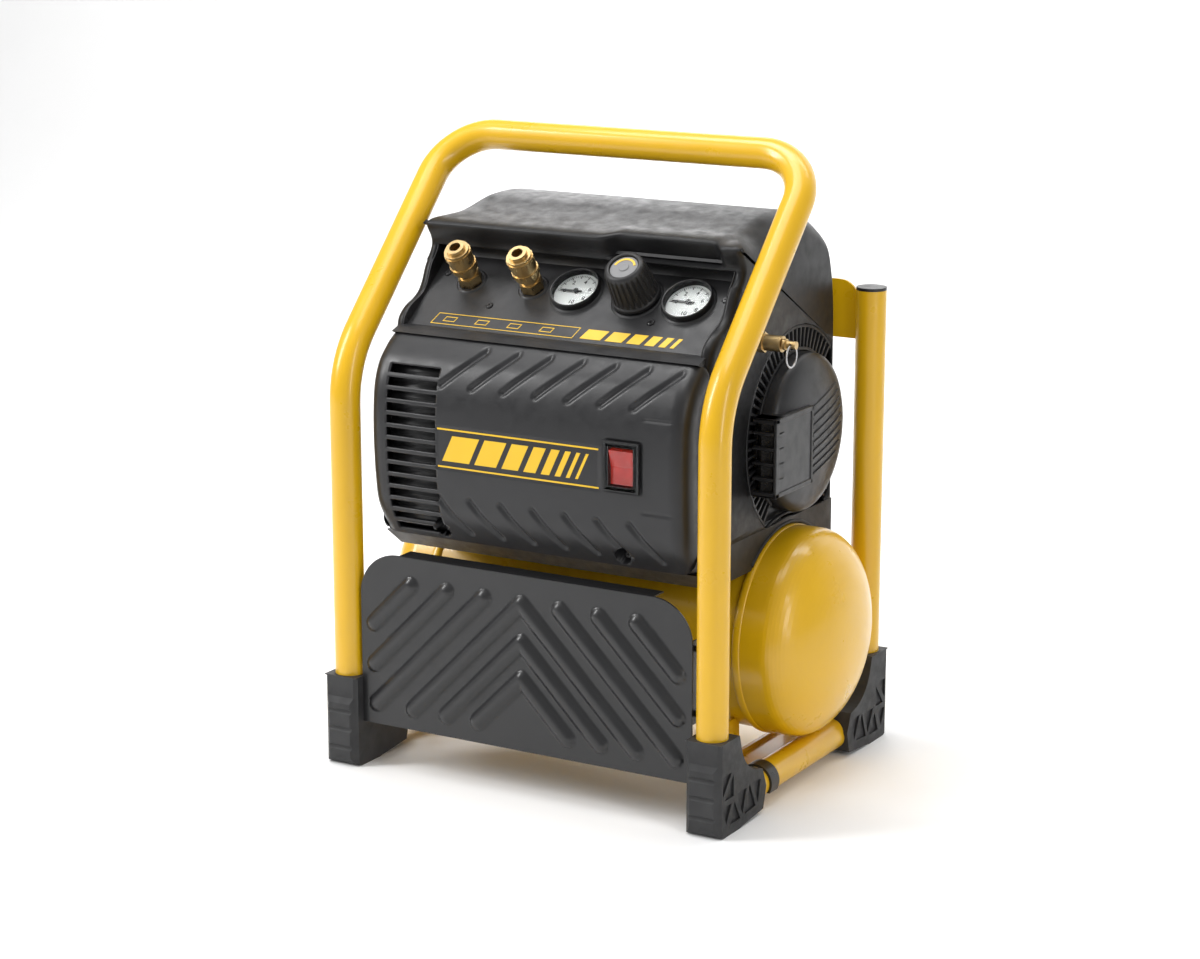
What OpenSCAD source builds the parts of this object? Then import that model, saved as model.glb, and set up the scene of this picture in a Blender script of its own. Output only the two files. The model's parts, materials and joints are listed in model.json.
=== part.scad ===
// Portable roll-cage air compressor: a horizontal air tank and an oil-free pump in one tubular cage.
// X runs left to right, Y front to back, Z up. The origin is under the middle, on the floor.
// Lengths are in millimetres.

/* [Cage] */
// Distance between the centrelines of the left and right uprights
cage_w = 402.8; // [398:0.1:408]
// Distance between the centrelines of the front and rear uprights
cage_d = 322.3; // [318:0.1:328]
// Outside diameter of the bent tube
tube_d = 30; // [28:0.5:30.5]
// Wall thickness of the tube
tube_wall = 2; // [1.2:0.1:3]
// Height of the runner centreline above the floor
runner_z = 22; // [20:0.5:24]
// Height where the front upright would meet the sloping arm
knee_z = 399.2; // [395:0.1:404]
// Height of the handle centreline
handle_z = 602.2; // [598:0.1:608]
// Distance of the handle centreline behind the middle
handle_y = 32.85; // [28:0.05:38]
// Height of the open tops of the rear uprights
rear_top_z = 458; // [450:1:470]

/* [Tank] */
// Outside radius of the domed heads
tank_r = 102; // [100:0.5:102]
// Distance from the middle to the joggle ring at each head
ring_x = 171; // [165:1:175]
// Height of the tank axis
tank_z = 140.5; // [140.5:0.5:142]
// Distance of the tank axis behind the middle
tank_y = 38.85; // [36:0.05:40]

/* [Body] */
// Half width of the plastic shroud
body_hw = 173; // [171:0.5:174]
// Wall thickness of the mouldings
skin = 3; // [2.5:0.1:3.5]
// Slope of the control panel above the horizontal
panel_tilt = 38; // [37:0.5:39]
// Number of louvre slots at the left corner
louvres = 14; // [10:1:14]
// Number of moulded grooves in each row on the front
grooves = 7; // [4:1:7]

/* [Pump] */
// Distance of the motor axis behind the middle
motor_y = 58; // [57:0.5:58]
// Height of the motor axis
motor_z = 333; // [331:0.5:335]
// Crank throw, half of the piston stroke
throw = 12; // [8:0.5:12]
// Cylinder bore radius
bore_r = 26; // [24:0.5:26]
// Number of cooling fan blades
blades = 9; // [5:1:11]

/* [Controls] */
// Radius of a pressure gauge case
gauge_r = 25; // [22:0.5:25]
// Height of the regulator knob above the panel
knob_h = 44; // [38:1:46]
// Number of flutes around the regulator knob
flutes = 24; // [12:1:30]
// Radius of the bore that takes a hose plug
plug_r = 5.6; // [5:0.1:6]

/* [Hidden] */
$fn = 64;
eps = 0.01;

tube_r = tube_d / 2;
side_x = cage_w / 2;
front_y = -cage_d / 2;
rear_y = cage_d / 2;
bottom_bend = 55;
knee_bend = 100;
hand_bend = 55;
seam = 0.02;
slope = atan2(handle_y - front_y, handle_z - knee_z);
arm_len = norm([handle_y - front_y, handle_z - knee_z]);
knee_tangent = knee_bend * tan(slope / 2);

foot_w = 37;
foot_top = 91;

guard_hw = 182.7;
guard_y = -165;
guard_t = 2;
guard_z0 = 45;
guard_z1 = 218;
rib_r = 6.5;
rib_y = -165.5;
bolt_y = -157;
bolt_zs = [110, 172];

shell_r = tank_r - 2.5;
skirt = 26;
dome = tank_r / 2;
head_t = 2.5;

cover_back = -120;
hood_bottom = 250;
cover_bottom = 234;
slot_x = -95;
slot_z0 = 240;
slot_pitch = 12;
slot_h = 8;
switch_x = 108.5;
switch_z = 335.5;
screw_x = 99;
screw_z = 245;

panel_y = -111;
panel_z = 433;
panel_row = 62;
knob_x = 65;
gauge_x = [-1, 120];
coupler_x = [-119, -49];
stem_h = -44;
bar_r = 15;
bar_y = panel_y + panel_row * cos(panel_tilt) - stem_h * sin(panel_tilt);
bar_z = panel_z + panel_row * sin(panel_tilt) + stem_h * cos(panel_tilt);

grille_r = 103.7;
cover_r = 77.5;
side_rim_y = 134;
crank_x = 127;
shaft_r = 7;
run_gap = 0.03;

// ---- helpers ----

// Extrudes a (y, z) outline from x0 to x1
module yz(x0, x1)
{
    translate([x0, 0, 0])
        rotate([90, 0, 90])
            linear_extrude(x1 - x0)
                children();
}

// Extrudes an (x, z) outline from y0 to y1
module xz(y0, y1)
{
    translate([0, y1, 0])
        rotate([90, 0, 0])
            linear_extrude(y1 - y0)
                children();
}

// Solid or hollow bar along X at (y, z)
module bar_x(x0, x1, r, y, z, hole = 0)
{
    translate([x0, y, z])
        rotate([0, 90, 0])
            difference() {
                cylinder(h = x1 - x0, r = r);
                if (hole > 0)
                    translate([0, 0, -1])
                        cylinder(h = x1 - x0 + 2, r = hole);
            }
}

// Box between two corners
module box(a, b)
{
    translate(a)
        cube(b - a);
}

module both_sides()
{
    children();
    mirror([1, 0, 0])
        children();
}

// Places a child on the sloping panel: x across, s up the slope, h out of it
module on_panel(x, s = 0, h = 0)
{
    translate([x, panel_y, panel_z])
        rotate([panel_tilt, 0, 0])
            translate([0, s, h])
                children();
}

// Moves each outline point [y, z, dy, dz] inwards by t along its own direction
function inset(pts, t) = [for (p = pts) [p[0] + t * p[2], p[1] + t * p[3]]];

// ---- cage ----

// Bend in the side plane about (y, z), from angle a0 through a1 degrees, for a tube of radius r
module side_bend(y, z, radius, a0, a1, r)
{
    translate([side_x, y, z])
        rotate([90, 0, 90])
            rotate([0, 0, a0])
                rotate_extrude(angle = a1, $fn = 96)
                    translate([radius, 0])
                        circle(r = r);
}

module upright(y, z0, z1, r)
{
    translate([side_x, y, z0])
        cylinder(h = z1 - z0, r = r);
}

// The runner, its two bends and the uprights up to z_front and z_rear, as a bar of radius r
module lower_side(r, z_front, z_rear)
{
    bend_z = runner_z + bottom_bend;
    upright(rear_y, bend_z, z_rear, r);
    side_bend(rear_y - bottom_bend, bend_z, bottom_bend, -90, 90, r);
    translate([side_x, rear_y - bottom_bend, runner_z])
        rotate([90, 0, 0])
            cylinder(h = cage_d - 2 * bottom_bend, r = r);
    side_bend(front_y + bottom_bend, bend_z, bottom_bend, 180, 90, r);
    upright(front_y, bend_z, z_front, r);
}

module tube_section()
{
    difference() {
        circle(r = tube_r);
        circle(r = tube_r - tube_wall);
    }
}

// Bottom bend of the tube about y, from angle a0, stopping a hairline short at both ends
module bottom_corner(y, a0)
{
    turn = seam / bottom_bend * 57.3;
    translate([side_x, y, runner_z + bottom_bend])
        rotate([90, 0, 90])
            rotate([0, 0, a0 + turn])
                rotate_extrude(angle = 90 - 2 * turn, $fn = 96)
                    translate([bottom_bend, 0])
                        tube_section();
}

// Uprights, runner and bends of one side; seam is the hairline at each weld
module side_tubes()
{
    bend_z = runner_z + bottom_bend;
    bottom_corner(rear_y - bottom_bend, -90);
    bottom_corner(front_y + bottom_bend, 180);
    translate([side_x, rear_y, bend_z])
        linear_extrude(rear_top_z - bend_z)
            tube_section();
    translate([side_x, rear_y - bottom_bend, runner_z])
        rotate([90, 0, 0])
            linear_extrude(cage_d - 2 * bottom_bend)
                tube_section();
    difference() {
        translate([side_x, front_y, bend_z])
            linear_extrude(knee_z - knee_tangent - seam - bend_z)
                tube_section();
        for (z = bolt_zs)
            bar_x(side_x - tube_r - 2, side_x - 5, 3.1, bolt_y, z);
    }
}

// The knee, the sloping arm and the corner of the handle
module arm_side()
{
    turn = seam / knee_bend * 57.3;
    translate([side_x, front_y + knee_bend, knee_z - knee_tangent])
        rotate([90, 0, 90])
            rotate([0, 0, 180 - slope + turn])
                rotate_extrude(angle = slope - 2 * turn, $fn = 96)
                    translate([knee_bend, 0])
                        tube_section();
    translate([0, front_y, knee_z])
        rotate([-slope, 0, 0]) {
            translate([side_x, 0, knee_tangent + seam])
                linear_extrude(arm_len - knee_tangent - hand_bend - 2 * seam)
                    tube_section();
            translate([side_x - hand_bend, 0, arm_len - hand_bend])
                rotate([90, 0, 0])
                    rotate_extrude(angle = 90, $fn = 96)
                        translate([hand_bend, 0])
                            tube_section();
        }
}

module cage_tube()
{
    color("gold") {
        both_sides() {
            side_tubes();
            arm_side();
        }
        translate([hand_bend - side_x + seam, handle_y, handle_z])
            rotate([0, 90, 0])
                linear_extrude(cage_w - 2 * hand_bend - 2 * seam)
                    tube_section();
    }
}

module tube_end_plugs()
{
    color("black")
        both_sides()
            translate([side_x, rear_y, rear_top_z]) {
                cylinder(h = 3, r = tube_r);
                translate([0, 0, -12])
                    cylinder(h = 12 + eps, r = tube_r - tube_wall - 0.1);
            }
}

// Points of an arc about (x, y) from angle a0 to a1
function arc(x, y, r, a0, a1, steps) =
    [for (i = [0 : steps]) let (a = a0 + (a1 - a0) * i / steps) [x + r * cos(a), y + r * sin(a)]];

// Side outline of a front foot: u runs back from the upright's centreline, z up
module foot_outline()
{
    difference() {
        polygon(concat(arc(-9, 12, 12, 180, 270, 8), arc(20, 14, 14, 270, 290, 3), [[68, 5], [74, 26],
            [66, 45]], arc(66, 91, 45, 260, 195, 10), [[19, foot_top], [-18, foot_top], [-18, 70],
            [-21, 64]]));
        for (z = [19, 38, 56])
            translate([-22.5, z])
                circle(r = 3);
    }
}

// Triangular pockets of the foot's outer side
module foot_pockets()
{
    polygon([[-13, 60], [-13, 40], [4, 60]]);
    polygon([[8, 57], [-9, 36], [8, 36]]);
    polygon([[-13, 30], [-6, 12], [4, 30]]);
    polygon([[10, 30], [2, 10], [22, 10]]);
    polygon([[14, 36], [26, 13], [34, 36]]);
    polygon([[40, 38], [30, 11], [52, 13]]);
    polygon([[46, 38], [57, 14], [62, 36]]);
}

// Foot at the front right corner
module foot()
{
    difference() {
        translate([0, front_y, 0])
            difference() {
                yz(side_x - foot_w / 2, side_x + foot_w / 2)
                    foot_outline();
                yz(side_x + foot_w / 2 - 2, side_x + foot_w / 2 + 1)
                    foot_pockets();
                for (edge = [-1, 1])
                    translate([side_x + edge * foot_w / 2, -21, -1])
                        rotate([0, 0, 45])
                            cube([9, 9, 2 * foot_top], center = true);
            }
        lower_side(tube_r, 140, 140);
    }
}

module foot_front_right()
{
    color("dimgray")
        foot();
}

module foot_front_left()
{
    color("dimgray")
        mirror([1, 0, 0])
            foot();
}

module foot_rear_right()
{
    color("dimgray")
        mirror([0, 1, 0])
            foot();
}

module foot_rear_left()
{
    color("dimgray")
        mirror([1, 0, 0])
            mirror([0, 1, 0])
                foot();
}

// ---- guard ----

// Embossed rib from (x, z) down and outwards at 45 degrees to the side or bottom margin
module rib(x, z, r)
{
    len = min((168 - x), z - 66) * sqrt(2);
    translate([x, rib_y, z])
        rotate([0, 135, 0]) {
            cylinder(h = len, r = r);
            sphere(r = r);
            translate([0, 0, len])
                sphere(r = r);
        }
}

module ribs(r)
{
    both_sides() {
        for (x = [0, 42, 84, 125])
            rib(x, 190, r);
        for (z = [152, 116])
            rib(0, z, r);
    }
}

module guard_outline(margin)
{
    corner = 42;
    hw = guard_hw - margin;
    top = guard_z1 - margin;
    difference() {
        translate([-hw, guard_z0 + margin])
            square([2 * hw, top - guard_z0 - margin]);
        for (s = [-1, 1])
            translate([s * (hw - corner / 2 + 1), top - corner / 2 + 1])
                square([corner + 2, corner + 2], center = true);
    }
    for (s = [-1, 1])
        translate([s * (hw - corner), top - corner])
            intersection() {
                circle(r = corner);
                translate([s > 0 ? 0 : -corner, 0])
                    square(corner);
            }
}

module front_guard()
{
    color("#4a4b4e") {
        difference() {
            union() {
                xz(guard_y - guard_t, guard_y)
                    guard_outline(0);
                difference() {
                    ribs(rib_r);
                    box([-300, guard_y - guard_t / 2, 0], [300, 0, 400]);
                }
            }
            ribs(rib_r - guard_t);
        }
        box([-140, guard_y - eps, guard_z1 - guard_t], [140, guard_y + 22, guard_z1]);
        both_sides()
            difference() {
                box([guard_hw - guard_t, guard_y - eps, 100], [guard_hw, guard_y + 18, 172 + 10]);
                for (z = bolt_zs)
                    bar_x(guard_hw - 4, guard_hw + 2, 3.1, bolt_y, z);
            }
    }
}

module guard_fixings()
{
    color("dimgray")
        both_sides() {
            for (z = bolt_zs) {
                bar_x(guard_hw - guard_t - 4, guard_hw - guard_t, 5.5, bolt_y, z);
                bar_x(guard_hw - guard_t - eps, side_x - 8, 3, bolt_y, z);
            }
            difference() {
                translate([side_x, -58, runner_z])
                    rotate([90, 0, 0])
                        cylinder(h = 16, r = tube_r + 2.6);
                translate([side_x, -57, runner_z])
                    rotate([90, 0, 0])
                        cylinder(h = 18, r = tube_r);
                box([side_x - 20, -76, 0], [side_x + 20, -56, runner_z - 9]);
            }
        }
}

module rear_cross_plate()
{
    hw = side_x - tube_r + 3;
    corner = 20;
    color("gold")
        difference() {
            xz(rear_y - 1.5, rear_y + 1.5)
                polygon(concat([[-hw, 408], [hw, 408], [hw, 444]], arc(168, 446, corner, 0, 90, 8),
                    arc(-168, 446, corner, 90, 180, 8), [[-hw, 444]]));
            both_sides()
                translate([side_x, rear_y, 400])
                    cylinder(h = 80, r = tube_r);
        }
}

// ---- tank ----

module tank_shell()
{
    color("gold")
        difference() {
            bar_x(-ring_x - 8, ring_x + 8, shell_r, tank_y, tank_z, shell_r - 2.5);
            translate([check_x, tank_y, 200])
                cylinder(h = 60, r = 6.2);
            translate([outlet_x, bar_y, 190])
                cylinder(h = 60, r = 5.2);
        }
}

// Half outline of an ellipse of height h and radius r, for one head
function dome_arc(r, h, base, steps = 24) =
    [for (i = [0 : steps]) [r * cos(90 * i / steps), base + h * sin(90 * i / steps)]];

module tank_head()
{
    outer = dome_arc(tank_r, dome, skirt);
    inner = dome_arc(tank_r - head_t, dome - head_t, skirt);
    rotate_extrude($fn = 96)
        polygon(concat([[tank_r - head_t, 0], [tank_r, 0]], outer,
            [for (i = [len(inner) - 1 : -1 : 0]) inner[i]]));
}

module tank_heads()
{
    color("gold")
        both_sides()
            translate([ring_x, tank_y, tank_z])
                rotate([0, 90, 0])
                    tank_head();
}

// Two saddle plates that carry the tank on the runners
module tank_brackets()
{
    color("gold")
        both_sides()
            difference() {
                union() {
                    yz(148, 152)
                        polygon([[tank_y - 78, 17], [tank_y + 78, 17], [tank_y + 78, 62],
                            [tank_y - 78, 62]]);
                    box([148, tank_y - 78, 17], [side_x - 8, tank_y + 46, 21]);
                }
                bar_x(140, 160, shell_r, tank_y, tank_z);
                translate([side_x, 200, runner_z])
                    rotate([90, 0, 0])
                        cylinder(h = 400, r = tube_r);
                box([140, tank_y - 52, 25], [160, tank_y + 52, 80]);
            }
}

check_x = -140;
outlet_x = -110;
drain_x = 110;

module tank_bungs()
{
    color("gold") {
        difference() {
            union() {
                translate([check_x, tank_y, tank_z + shell_r - 6])
                    cylinder(h = 14, r = 10);
                translate([outlet_x, bar_y, 196])
                    cylinder(h = 28, r = 9);
            }
            bar_x(-200, 200, shell_r, tank_y, tank_z);
            translate([check_x, tank_y, 200])
                cylinder(h = 100, r = 6);
            translate([outlet_x, bar_y, 190])
                cylinder(h = 100, r = 5);
        }
        difference() {
            translate([drain_x, tank_y, 26])
                cylinder(h = 20, r = 8);
            bar_x(-200, 200, shell_r, tank_y, tank_z);
            translate([drain_x, tank_y, 20])
                cylinder(h = 60, r = 4.05);
        }
    }
}

module drain_valve_knob()
{
    color("#b5952f")
        translate([drain_x, tank_y, 0]) {
            translate([0, 0, 24])
                cylinder(h = 12, r = 4);
            difference() {
                translate([0, 0, 14])
                    cylinder(h = 10 + eps, r = 9);
                for (a = [0 : 30 : 330])
                    rotate([0, 0, a])
                        translate([9.6, 0, 10])
                            cylinder(h = 20, r = 1.4);
            }
        }
}

module check_valve()
{
    color("#b5952f")
        translate([check_x, tank_y, tank_z + shell_r + 8]) {
            cylinder(h = 7, r = 9, $fn = 6);
            translate([0, 0, 7 - eps])
                cylinder(h = 8, r = 6.5);
            translate([0, 0, -12])
                cylinder(h = 12 + eps, r = 5.95);
        }
}

// ---- pump and motor ----

platform_z = 247;
mount_xy = [for (x = [-72, 89], y = [motor_y - 40, motor_y + 40]) [x, y]];

module pump_platform()
{
    color("dimgray") {
        box([-96, motor_y - 58, platform_z], [112, motor_y + 58, platform_z + 4]);
        difference() {
            for (x = [-60, 60])
                box([x - 2, motor_y - 58, 190], [x + 2, motor_y + 58, platform_z + eps]);
            bar_x(-200, 200, shell_r, tank_y, tank_z);
        }
    }
}

module rubber_mounts()
{
    color("black")
        for (p = mount_xy)
            translate([p[0], p[1], platform_z + 4])
                difference() {
                    cylinder(h = 15, r = 11);
                    for (z = [5, 10])
                        translate([0, 0, z])
                            rotate_extrude()
                                translate([12, 0])
                                    circle(r = 2.2);
                }
}

foot_z = platform_z + 19;

// Round end bell with a rim towards the stator and a foot on two rubber mounts
module end_bell(x0, x1, rim_x0, rim_x1, foot_x)
{
    difference() {
        union() {
            bar_x(x0, x1, 62, motor_y, motor_z);
            bar_x(rim_x0, rim_x1, 62, motor_y, motor_z, 57.5);
            difference() {
                box([x0, motor_y - 40, foot_z], [x1, motor_y + 40, 300]);
                bar_x(x0 - 1, x1 + 1, 60, motor_y, motor_z);
            }
            box([foot_x - 11, motor_y - 52, foot_z], [foot_x + 11, motor_y + 52, foot_z + 4]);
        }
        bar_x(-300, 300, 16, motor_y, motor_z);
        for (a = [0 : 60 : 300])
            translate([x0 - 1, motor_y, motor_z])
                rotate([a, 0, 0])
                    translate([0, 0, 37])
                        rotate([0, 90, 0])
                            cylinder(h = x1 - x0 + 2, r = 9);
    }
}

module motor_end_bracket()
{
    color("silver")
        end_bell(-94, -82, -82 - eps, -60, -80);
}

module crankcase()
{
    color("silver") {
        difference() {
            union() {
                end_bell(82, 96, 60, 82 + eps, 84);
                bar_x(96 - eps, 146, 49, motor_y, motor_z, 43);
                translate([crank_x, motor_y, motor_z + 38])
                    cylinder(h = 10, r = 36);
            }
            translate([crank_x, motor_y, motor_z])
                cylinder(h = 60, r = bore_r + 1);
            translate([crank_x - 45, motor_y - 45, motor_z + 48])
                cube([90, 90, 10]);
            translate([crank_x, motor_y, motor_z + 38 - 1])
                difference() {
                    cylinder(h = 9, r = 60);
                    translate([-60, -60, -1])
                        cube([120, 120, 0.5]);
                    translate([0, 0, -1])
                        cylinder(h = 12, r = 36 + eps);
                }
        }
    }
}

module motor_stator()
{
    color("gray")
        difference() {
            bar_x(-60, 60, 62, motor_y, motor_z, 36.5);
            for (a = [30 : 60 : 330])
                translate([-61, motor_y, motor_z])
                    rotate([a, 0, 0])
                        translate([0, 0, 58])
                            rotate([0, 90, 0])
                                cylinder(h = 122, r = 2.5);
        }
}

module stator_windings()
{
    color("#b86a32")
        for (x = [-78, 60])
            translate([x + 9, motor_y, motor_z])
                rotate([0, 90, 0])
                    rotate_extrude()
                        polygon([[39, -9], [54, -9], [56, 0], [54, 9], [39, 9]]);
}

module motor_rotor()
{
    color("silver")
        difference() {
            bar_x(-58, 58, 36, motor_y, motor_z, shaft_r);
            for (x = [-58.5, 52.5], a = [0 : 45 : 315])
                translate([x, motor_y, motor_z])
                    rotate([a, 0, 0])
                        translate([0, 0, 24])
                            rotate([0, 90, 0])
                                cylinder(h = 6, r = 4);
        }
}

module motor_shaft()
{
    color("silver")
        bar_x(-128, 112, shaft_r, motor_y, motor_z);
}

module shaft_bearings()
{
    color("silver")
        for (x = [-93, 83])
            bar_x(x, x + 10, 16, motor_y, motor_z, shaft_r + run_gap);
}

module cooling_fan()
{
    color("dimgray")
        difference() {
            union() {
                bar_x(-128, -106, 15, motor_y, motor_z);
                bar_x(-108, -106, 40, motor_y, motor_z);
                for (a = [0 : 360 / blades : 359])
                    translate([-117, motor_y, motor_z])
                        rotate([a, 0, 0])
                            translate([0, 0, 42])
                                rotate([0, 0, 35])
                                    cube([2.4, 24, 56], center = true);
            }
            bar_x(-130, -100, shaft_r, motor_y, motor_z);
        }
}

module crank_eccentric()
{
    color("gray") {
        difference() {
            union() {
                bar_x(98, 112, 20, motor_y, motor_z);
                intersection() {
                    bar_x(98, 112, 36, motor_y, motor_z);
                    box([90, motor_y - 40, motor_z - 40], [120, motor_y + 40, motor_z - 8]);
                }
            }
            bar_x(90, 120, shaft_r, motor_y, motor_z);
        }
        difference() {
            bar_x(108, 119.5, 6, motor_y, motor_z + throw);
            bar_x(90, 112, 20, motor_y, motor_z);
        }
    }
}

// One-piece wobble piston: the rod and the cup head are a single casting
module piston_rod()
{
    color("silver") {
        difference() {
            union() {
                bar_x(crank_x - 6.5, crank_x + 6.5, 13, motor_y, motor_z + throw);
                box([crank_x - 5, motor_y - 7, motor_z + throw + 10], [crank_x + 5, motor_y + 7, 428]);
            }
            bar_x(crank_x - 10, crank_x + 10, 6.1, motor_y, motor_z + throw);
        }
        translate([crank_x, motor_y, 426])
            cylinder(h = 10, r = bore_r - 0.1);
    }
}

module pump_cylinder()
{
    color("silver")
        translate([crank_x, motor_y, motor_z + 48])
            difference() {
                union() {
                    cylinder(h = 58, r = bore_r + 4);
                    for (z = [6 : 8 : 54])
                        translate([0, 0, z])
                            cylinder(h = 2.4, r = 37);
                }
                translate([0, 0, -1])
                    cylinder(h = 60, r = bore_r);
            }
}

// Valve plate with the finned head on top
module cylinder_head()
{
    color("silver") {
        head_z = motor_z + 106;
        translate([crank_x - 35, motor_y - 35, head_z])
            cube([70, 70, 5]);
        difference() {
            union() {
                translate([crank_x - 33, motor_y - 33, head_z + 5])
                    cube([66, 66, 16]);
                for (x = [-31 : 8 : 33])
                    translate([crank_x + x, motor_y - 33, head_z + 20])
                        cube([2.4, 66, 9]);
            }
            bar_x(crank_x - 60, crank_x - 10, 5, tank_y, head_z + 13);
        }
    }
}

pipe_z = motor_z + 119;

// Copper delivery pipe from the head to the check valve, and the tank outlet pipe to the manifold
module air_pipes()
{
    color("#b86a32") {
        bar_x(check_x + 20, crank_x - 20, 4.9, tank_y, pipe_z);
        translate([check_x + 20, tank_y, pipe_z - 20])
            rotate([90, 0, 0])
                rotate([0, 0, 90])
                    rotate_extrude(angle = 90)
                        translate([20, 0])
                            circle(r = 4.9);
        translate([check_x, tank_y, tank_z + shell_r + 23])
            cylinder(h = pipe_z - 20 - tank_z - shell_r - 23, r = 4.9);
        difference() {
            translate([outlet_x, bar_y, 206])
                cylinder(h = 225, r = 4.9);
            bar_x(-200, 200, bar_r, bar_y, bar_z);
        }
    }
}

module capacitor()
{
    color("whitesmoke")
        translate([-50, -82, 218]) {
            cylinder(h = 78, r = 20);
            for (x = [-8, 8])
                translate([x - 3, -0.5, 78 - eps])
                    cube([6, 1, 9]);
        }
}

module pressure_switch()
{
    color("black") {
        box([2, bar_y - 26, 368], [60, bar_y + 24, 408]);
        difference() {
            translate([31, bar_y, 408 - eps])
                cylinder(h = 20, r = 7);
            bar_x(-200, 200, bar_r, bar_y, bar_z);
        }
    }
}

// ---- controls ----

module manifold()
{
    color("silver")
        bar_x(-140, 142, bar_r, bar_y, bar_z);
}

// A stem that stands on the round manifold and points out of the panel
module panel_stem(x, r, h1)
{
    difference() {
        on_panel(x, panel_row, stem_h + 8)
            cylinder(h = h1 - stem_h - 8, r = r);
        bar_x(-200, 200, bar_r, bar_y, bar_z);
    }
}

module regulator_body()
{
    color("#b5952f")
        difference() {
            union() {
                panel_stem(knob_x, 8, -20);
                on_panel(knob_x, panel_row, -26)
                    cylinder(h = 28, r = 15);
            }
            on_panel(knob_x, panel_row, -22)
                cylinder(h = 30, r = 11);
        }
}

module regulator_spring()
{
    color("silver")
        on_panel(knob_x, panel_row, -22)
            difference() {
                cylinder(h = 14, r = 9);
                translate([0, 0, -1])
                    cylinder(h = 16, r = 6.5);
                for (z = [2.5 : 3.5 : 13])
                    translate([0, 0, z])
                        rotate_extrude()
                            translate([9.4, 0])
                                circle(r = 1.2);
            }
}

module regulator_screw()
{
    color("silver")
        on_panel(knob_x, panel_row, 0) {
            translate([0, 0, -3])
                cylinder(h = 3, r = 10);
            translate([0, 0, -eps])
                cylinder(h = 24.6, r = 4);
        }
}

module regulator_knob()
{
    color("#2b2b2d")
        on_panel(knob_x, panel_row, 2.6)
            difference() {
                union() {
                    cylinder(h = 5, r = 24);
                    translate([0, 0, 5 - eps])
                        cylinder(h = 27, r1 = 22.5, r2 = 20.5);
                    translate([0, 0, 32 - 2 * eps])
                        cylinder(h = knob_h - 2.6 - 32, r1 = 20.5, r2 = 18.5);
                }
                for (i = [0 : flutes - 1])
                    rotate([0, 0, 360 / flutes * i])
                        translate([22.6, 0, 7])
                            rotate([0, -5, 0])
                                cylinder(h = 24, r = 1.7, $fn = 16);
                translate([0, 0, -1])
                    cylinder(h = 24, r = 4.05);
                translate([0, 0, -1])
                    cylinder(h = 6, r = 16);
                translate([0, 0, knob_h - 3.6])
                    cylinder(h = 5, r = 14);
            }
}

module gauge_case()
{
    difference() {
        cylinder(h = 30, r = gauge_r);
        translate([0, 0, 20])
            cylinder(h = 20, r = gauge_r - 1.8);
    }
}

module gauge_cases()
{
    color("black")
        for (x = gauge_x) {
            on_panel(x, panel_row, -21)
                gauge_case();
            panel_stem(x, 6, -21 + eps);
        }
}

module gauge_dials()
{
    color("white")
        for (x = gauge_x)
            on_panel(x, panel_row, -1)
                cylinder(h = 1, r = gauge_r - 1.8);
}

module gauge_lenses()
{
    color([0.9, 0.95, 1, 0.3])
        for (x = gauge_x)
            on_panel(x, panel_row, 6)
                cylinder(h = 1.6, r = gauge_r - 1.8);
}

// Pointer at rest on the zero mark
module gauge_needle(x)
{
    on_panel(x, panel_row, 0.6)
        rotate([0, 0, 180]) {
            cylinder(h = 3, r = 2.4);
            translate([-6, -0.7, 1])
                cube([23, 1.4, 1]);
        }
}

module gauge_needle_left()
{
    color("black")
        gauge_needle(gauge_x[0]);
}

module gauge_needle_right()
{
    color("black")
        gauge_needle(gauge_x[1]);
}

module coupler_bodies()
{
    color("#c9a23c")
        for (x = coupler_x)
            difference() {
                union() {
                    panel_stem(x, 8, 10);
                    on_panel(x, panel_row, 1)
                        cylinder(h = 10, r = 12, $fn = 6);
                    on_panel(x, panel_row, 11 - eps)
                        cylinder(h = 37, r = 9.2);
                }
                on_panel(x, panel_row, 24)
                    cylinder(h = 30, r = plug_r);
            }
}

// Knurled sleeve that slides back over the coupler body
module coupler_sleeve(x)
{
    on_panel(x, panel_row, 18)
        difference() {
            union() {
                cylinder(h = 26, r = 12.4);
                for (z = [3, 18])
                    translate([0, 0, z])
                        cylinder(h = 5, r = 13.4);
            }
            translate([0, 0, -1])
                cylinder(h = 30, r = 9.3);
            for (a = [0 : 20 : 340])
                rotate([0, 0, a])
                    translate([13.6, 0, -1])
                        cylinder(h = 30, r = 0.7, $fn = 16);
        }
}

module coupler_sleeve_left()
{
    color("#c9a23c")
        coupler_sleeve(coupler_x[0]);
}

module coupler_sleeve_right()
{
    color("#c9a23c")
        coupler_sleeve(coupler_x[1]);
}

module safety_valve_body()
{
    color("#c9a23c") {
        bar_x(142, 178, 5.5, bar_y, bar_z);
        translate([178 - eps, bar_y, bar_z])
            rotate([0, 90, 0])
                cylinder(h = 8, r = 10, $fn = 6);
        difference() {
            bar_x(186 - 2 * eps, 204, 7.6, bar_y, bar_z);
            bar_x(192, 206, 2.6, bar_y, bar_z);
        }
    }
}

ring_pin_x = 213;

module safety_valve_stem()
{
    color("#c9a23c")
        difference() {
            union() {
                bar_x(194, 218, 2.4, bar_y, bar_z);
                bar_x(205, 208, 5.2, bar_y, bar_z);
                bar_x(208 - eps, 218, 3.8, bar_y, bar_z);
            }
            translate([ring_pin_x, bar_y - 6, bar_z])
                rotate([-90, 0, 0])
                    cylinder(h = 12, r = 1.8);
        }
}

module safety_valve_ring()
{
    color("silver")
        translate([ring_pin_x, bar_y, bar_z - 10.5])
            rotate([0, 90, 0])
                rotate_extrude()
                    translate([10.5, 0])
                        circle(r = 0.9);
}

rocker_y = -158;

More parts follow.
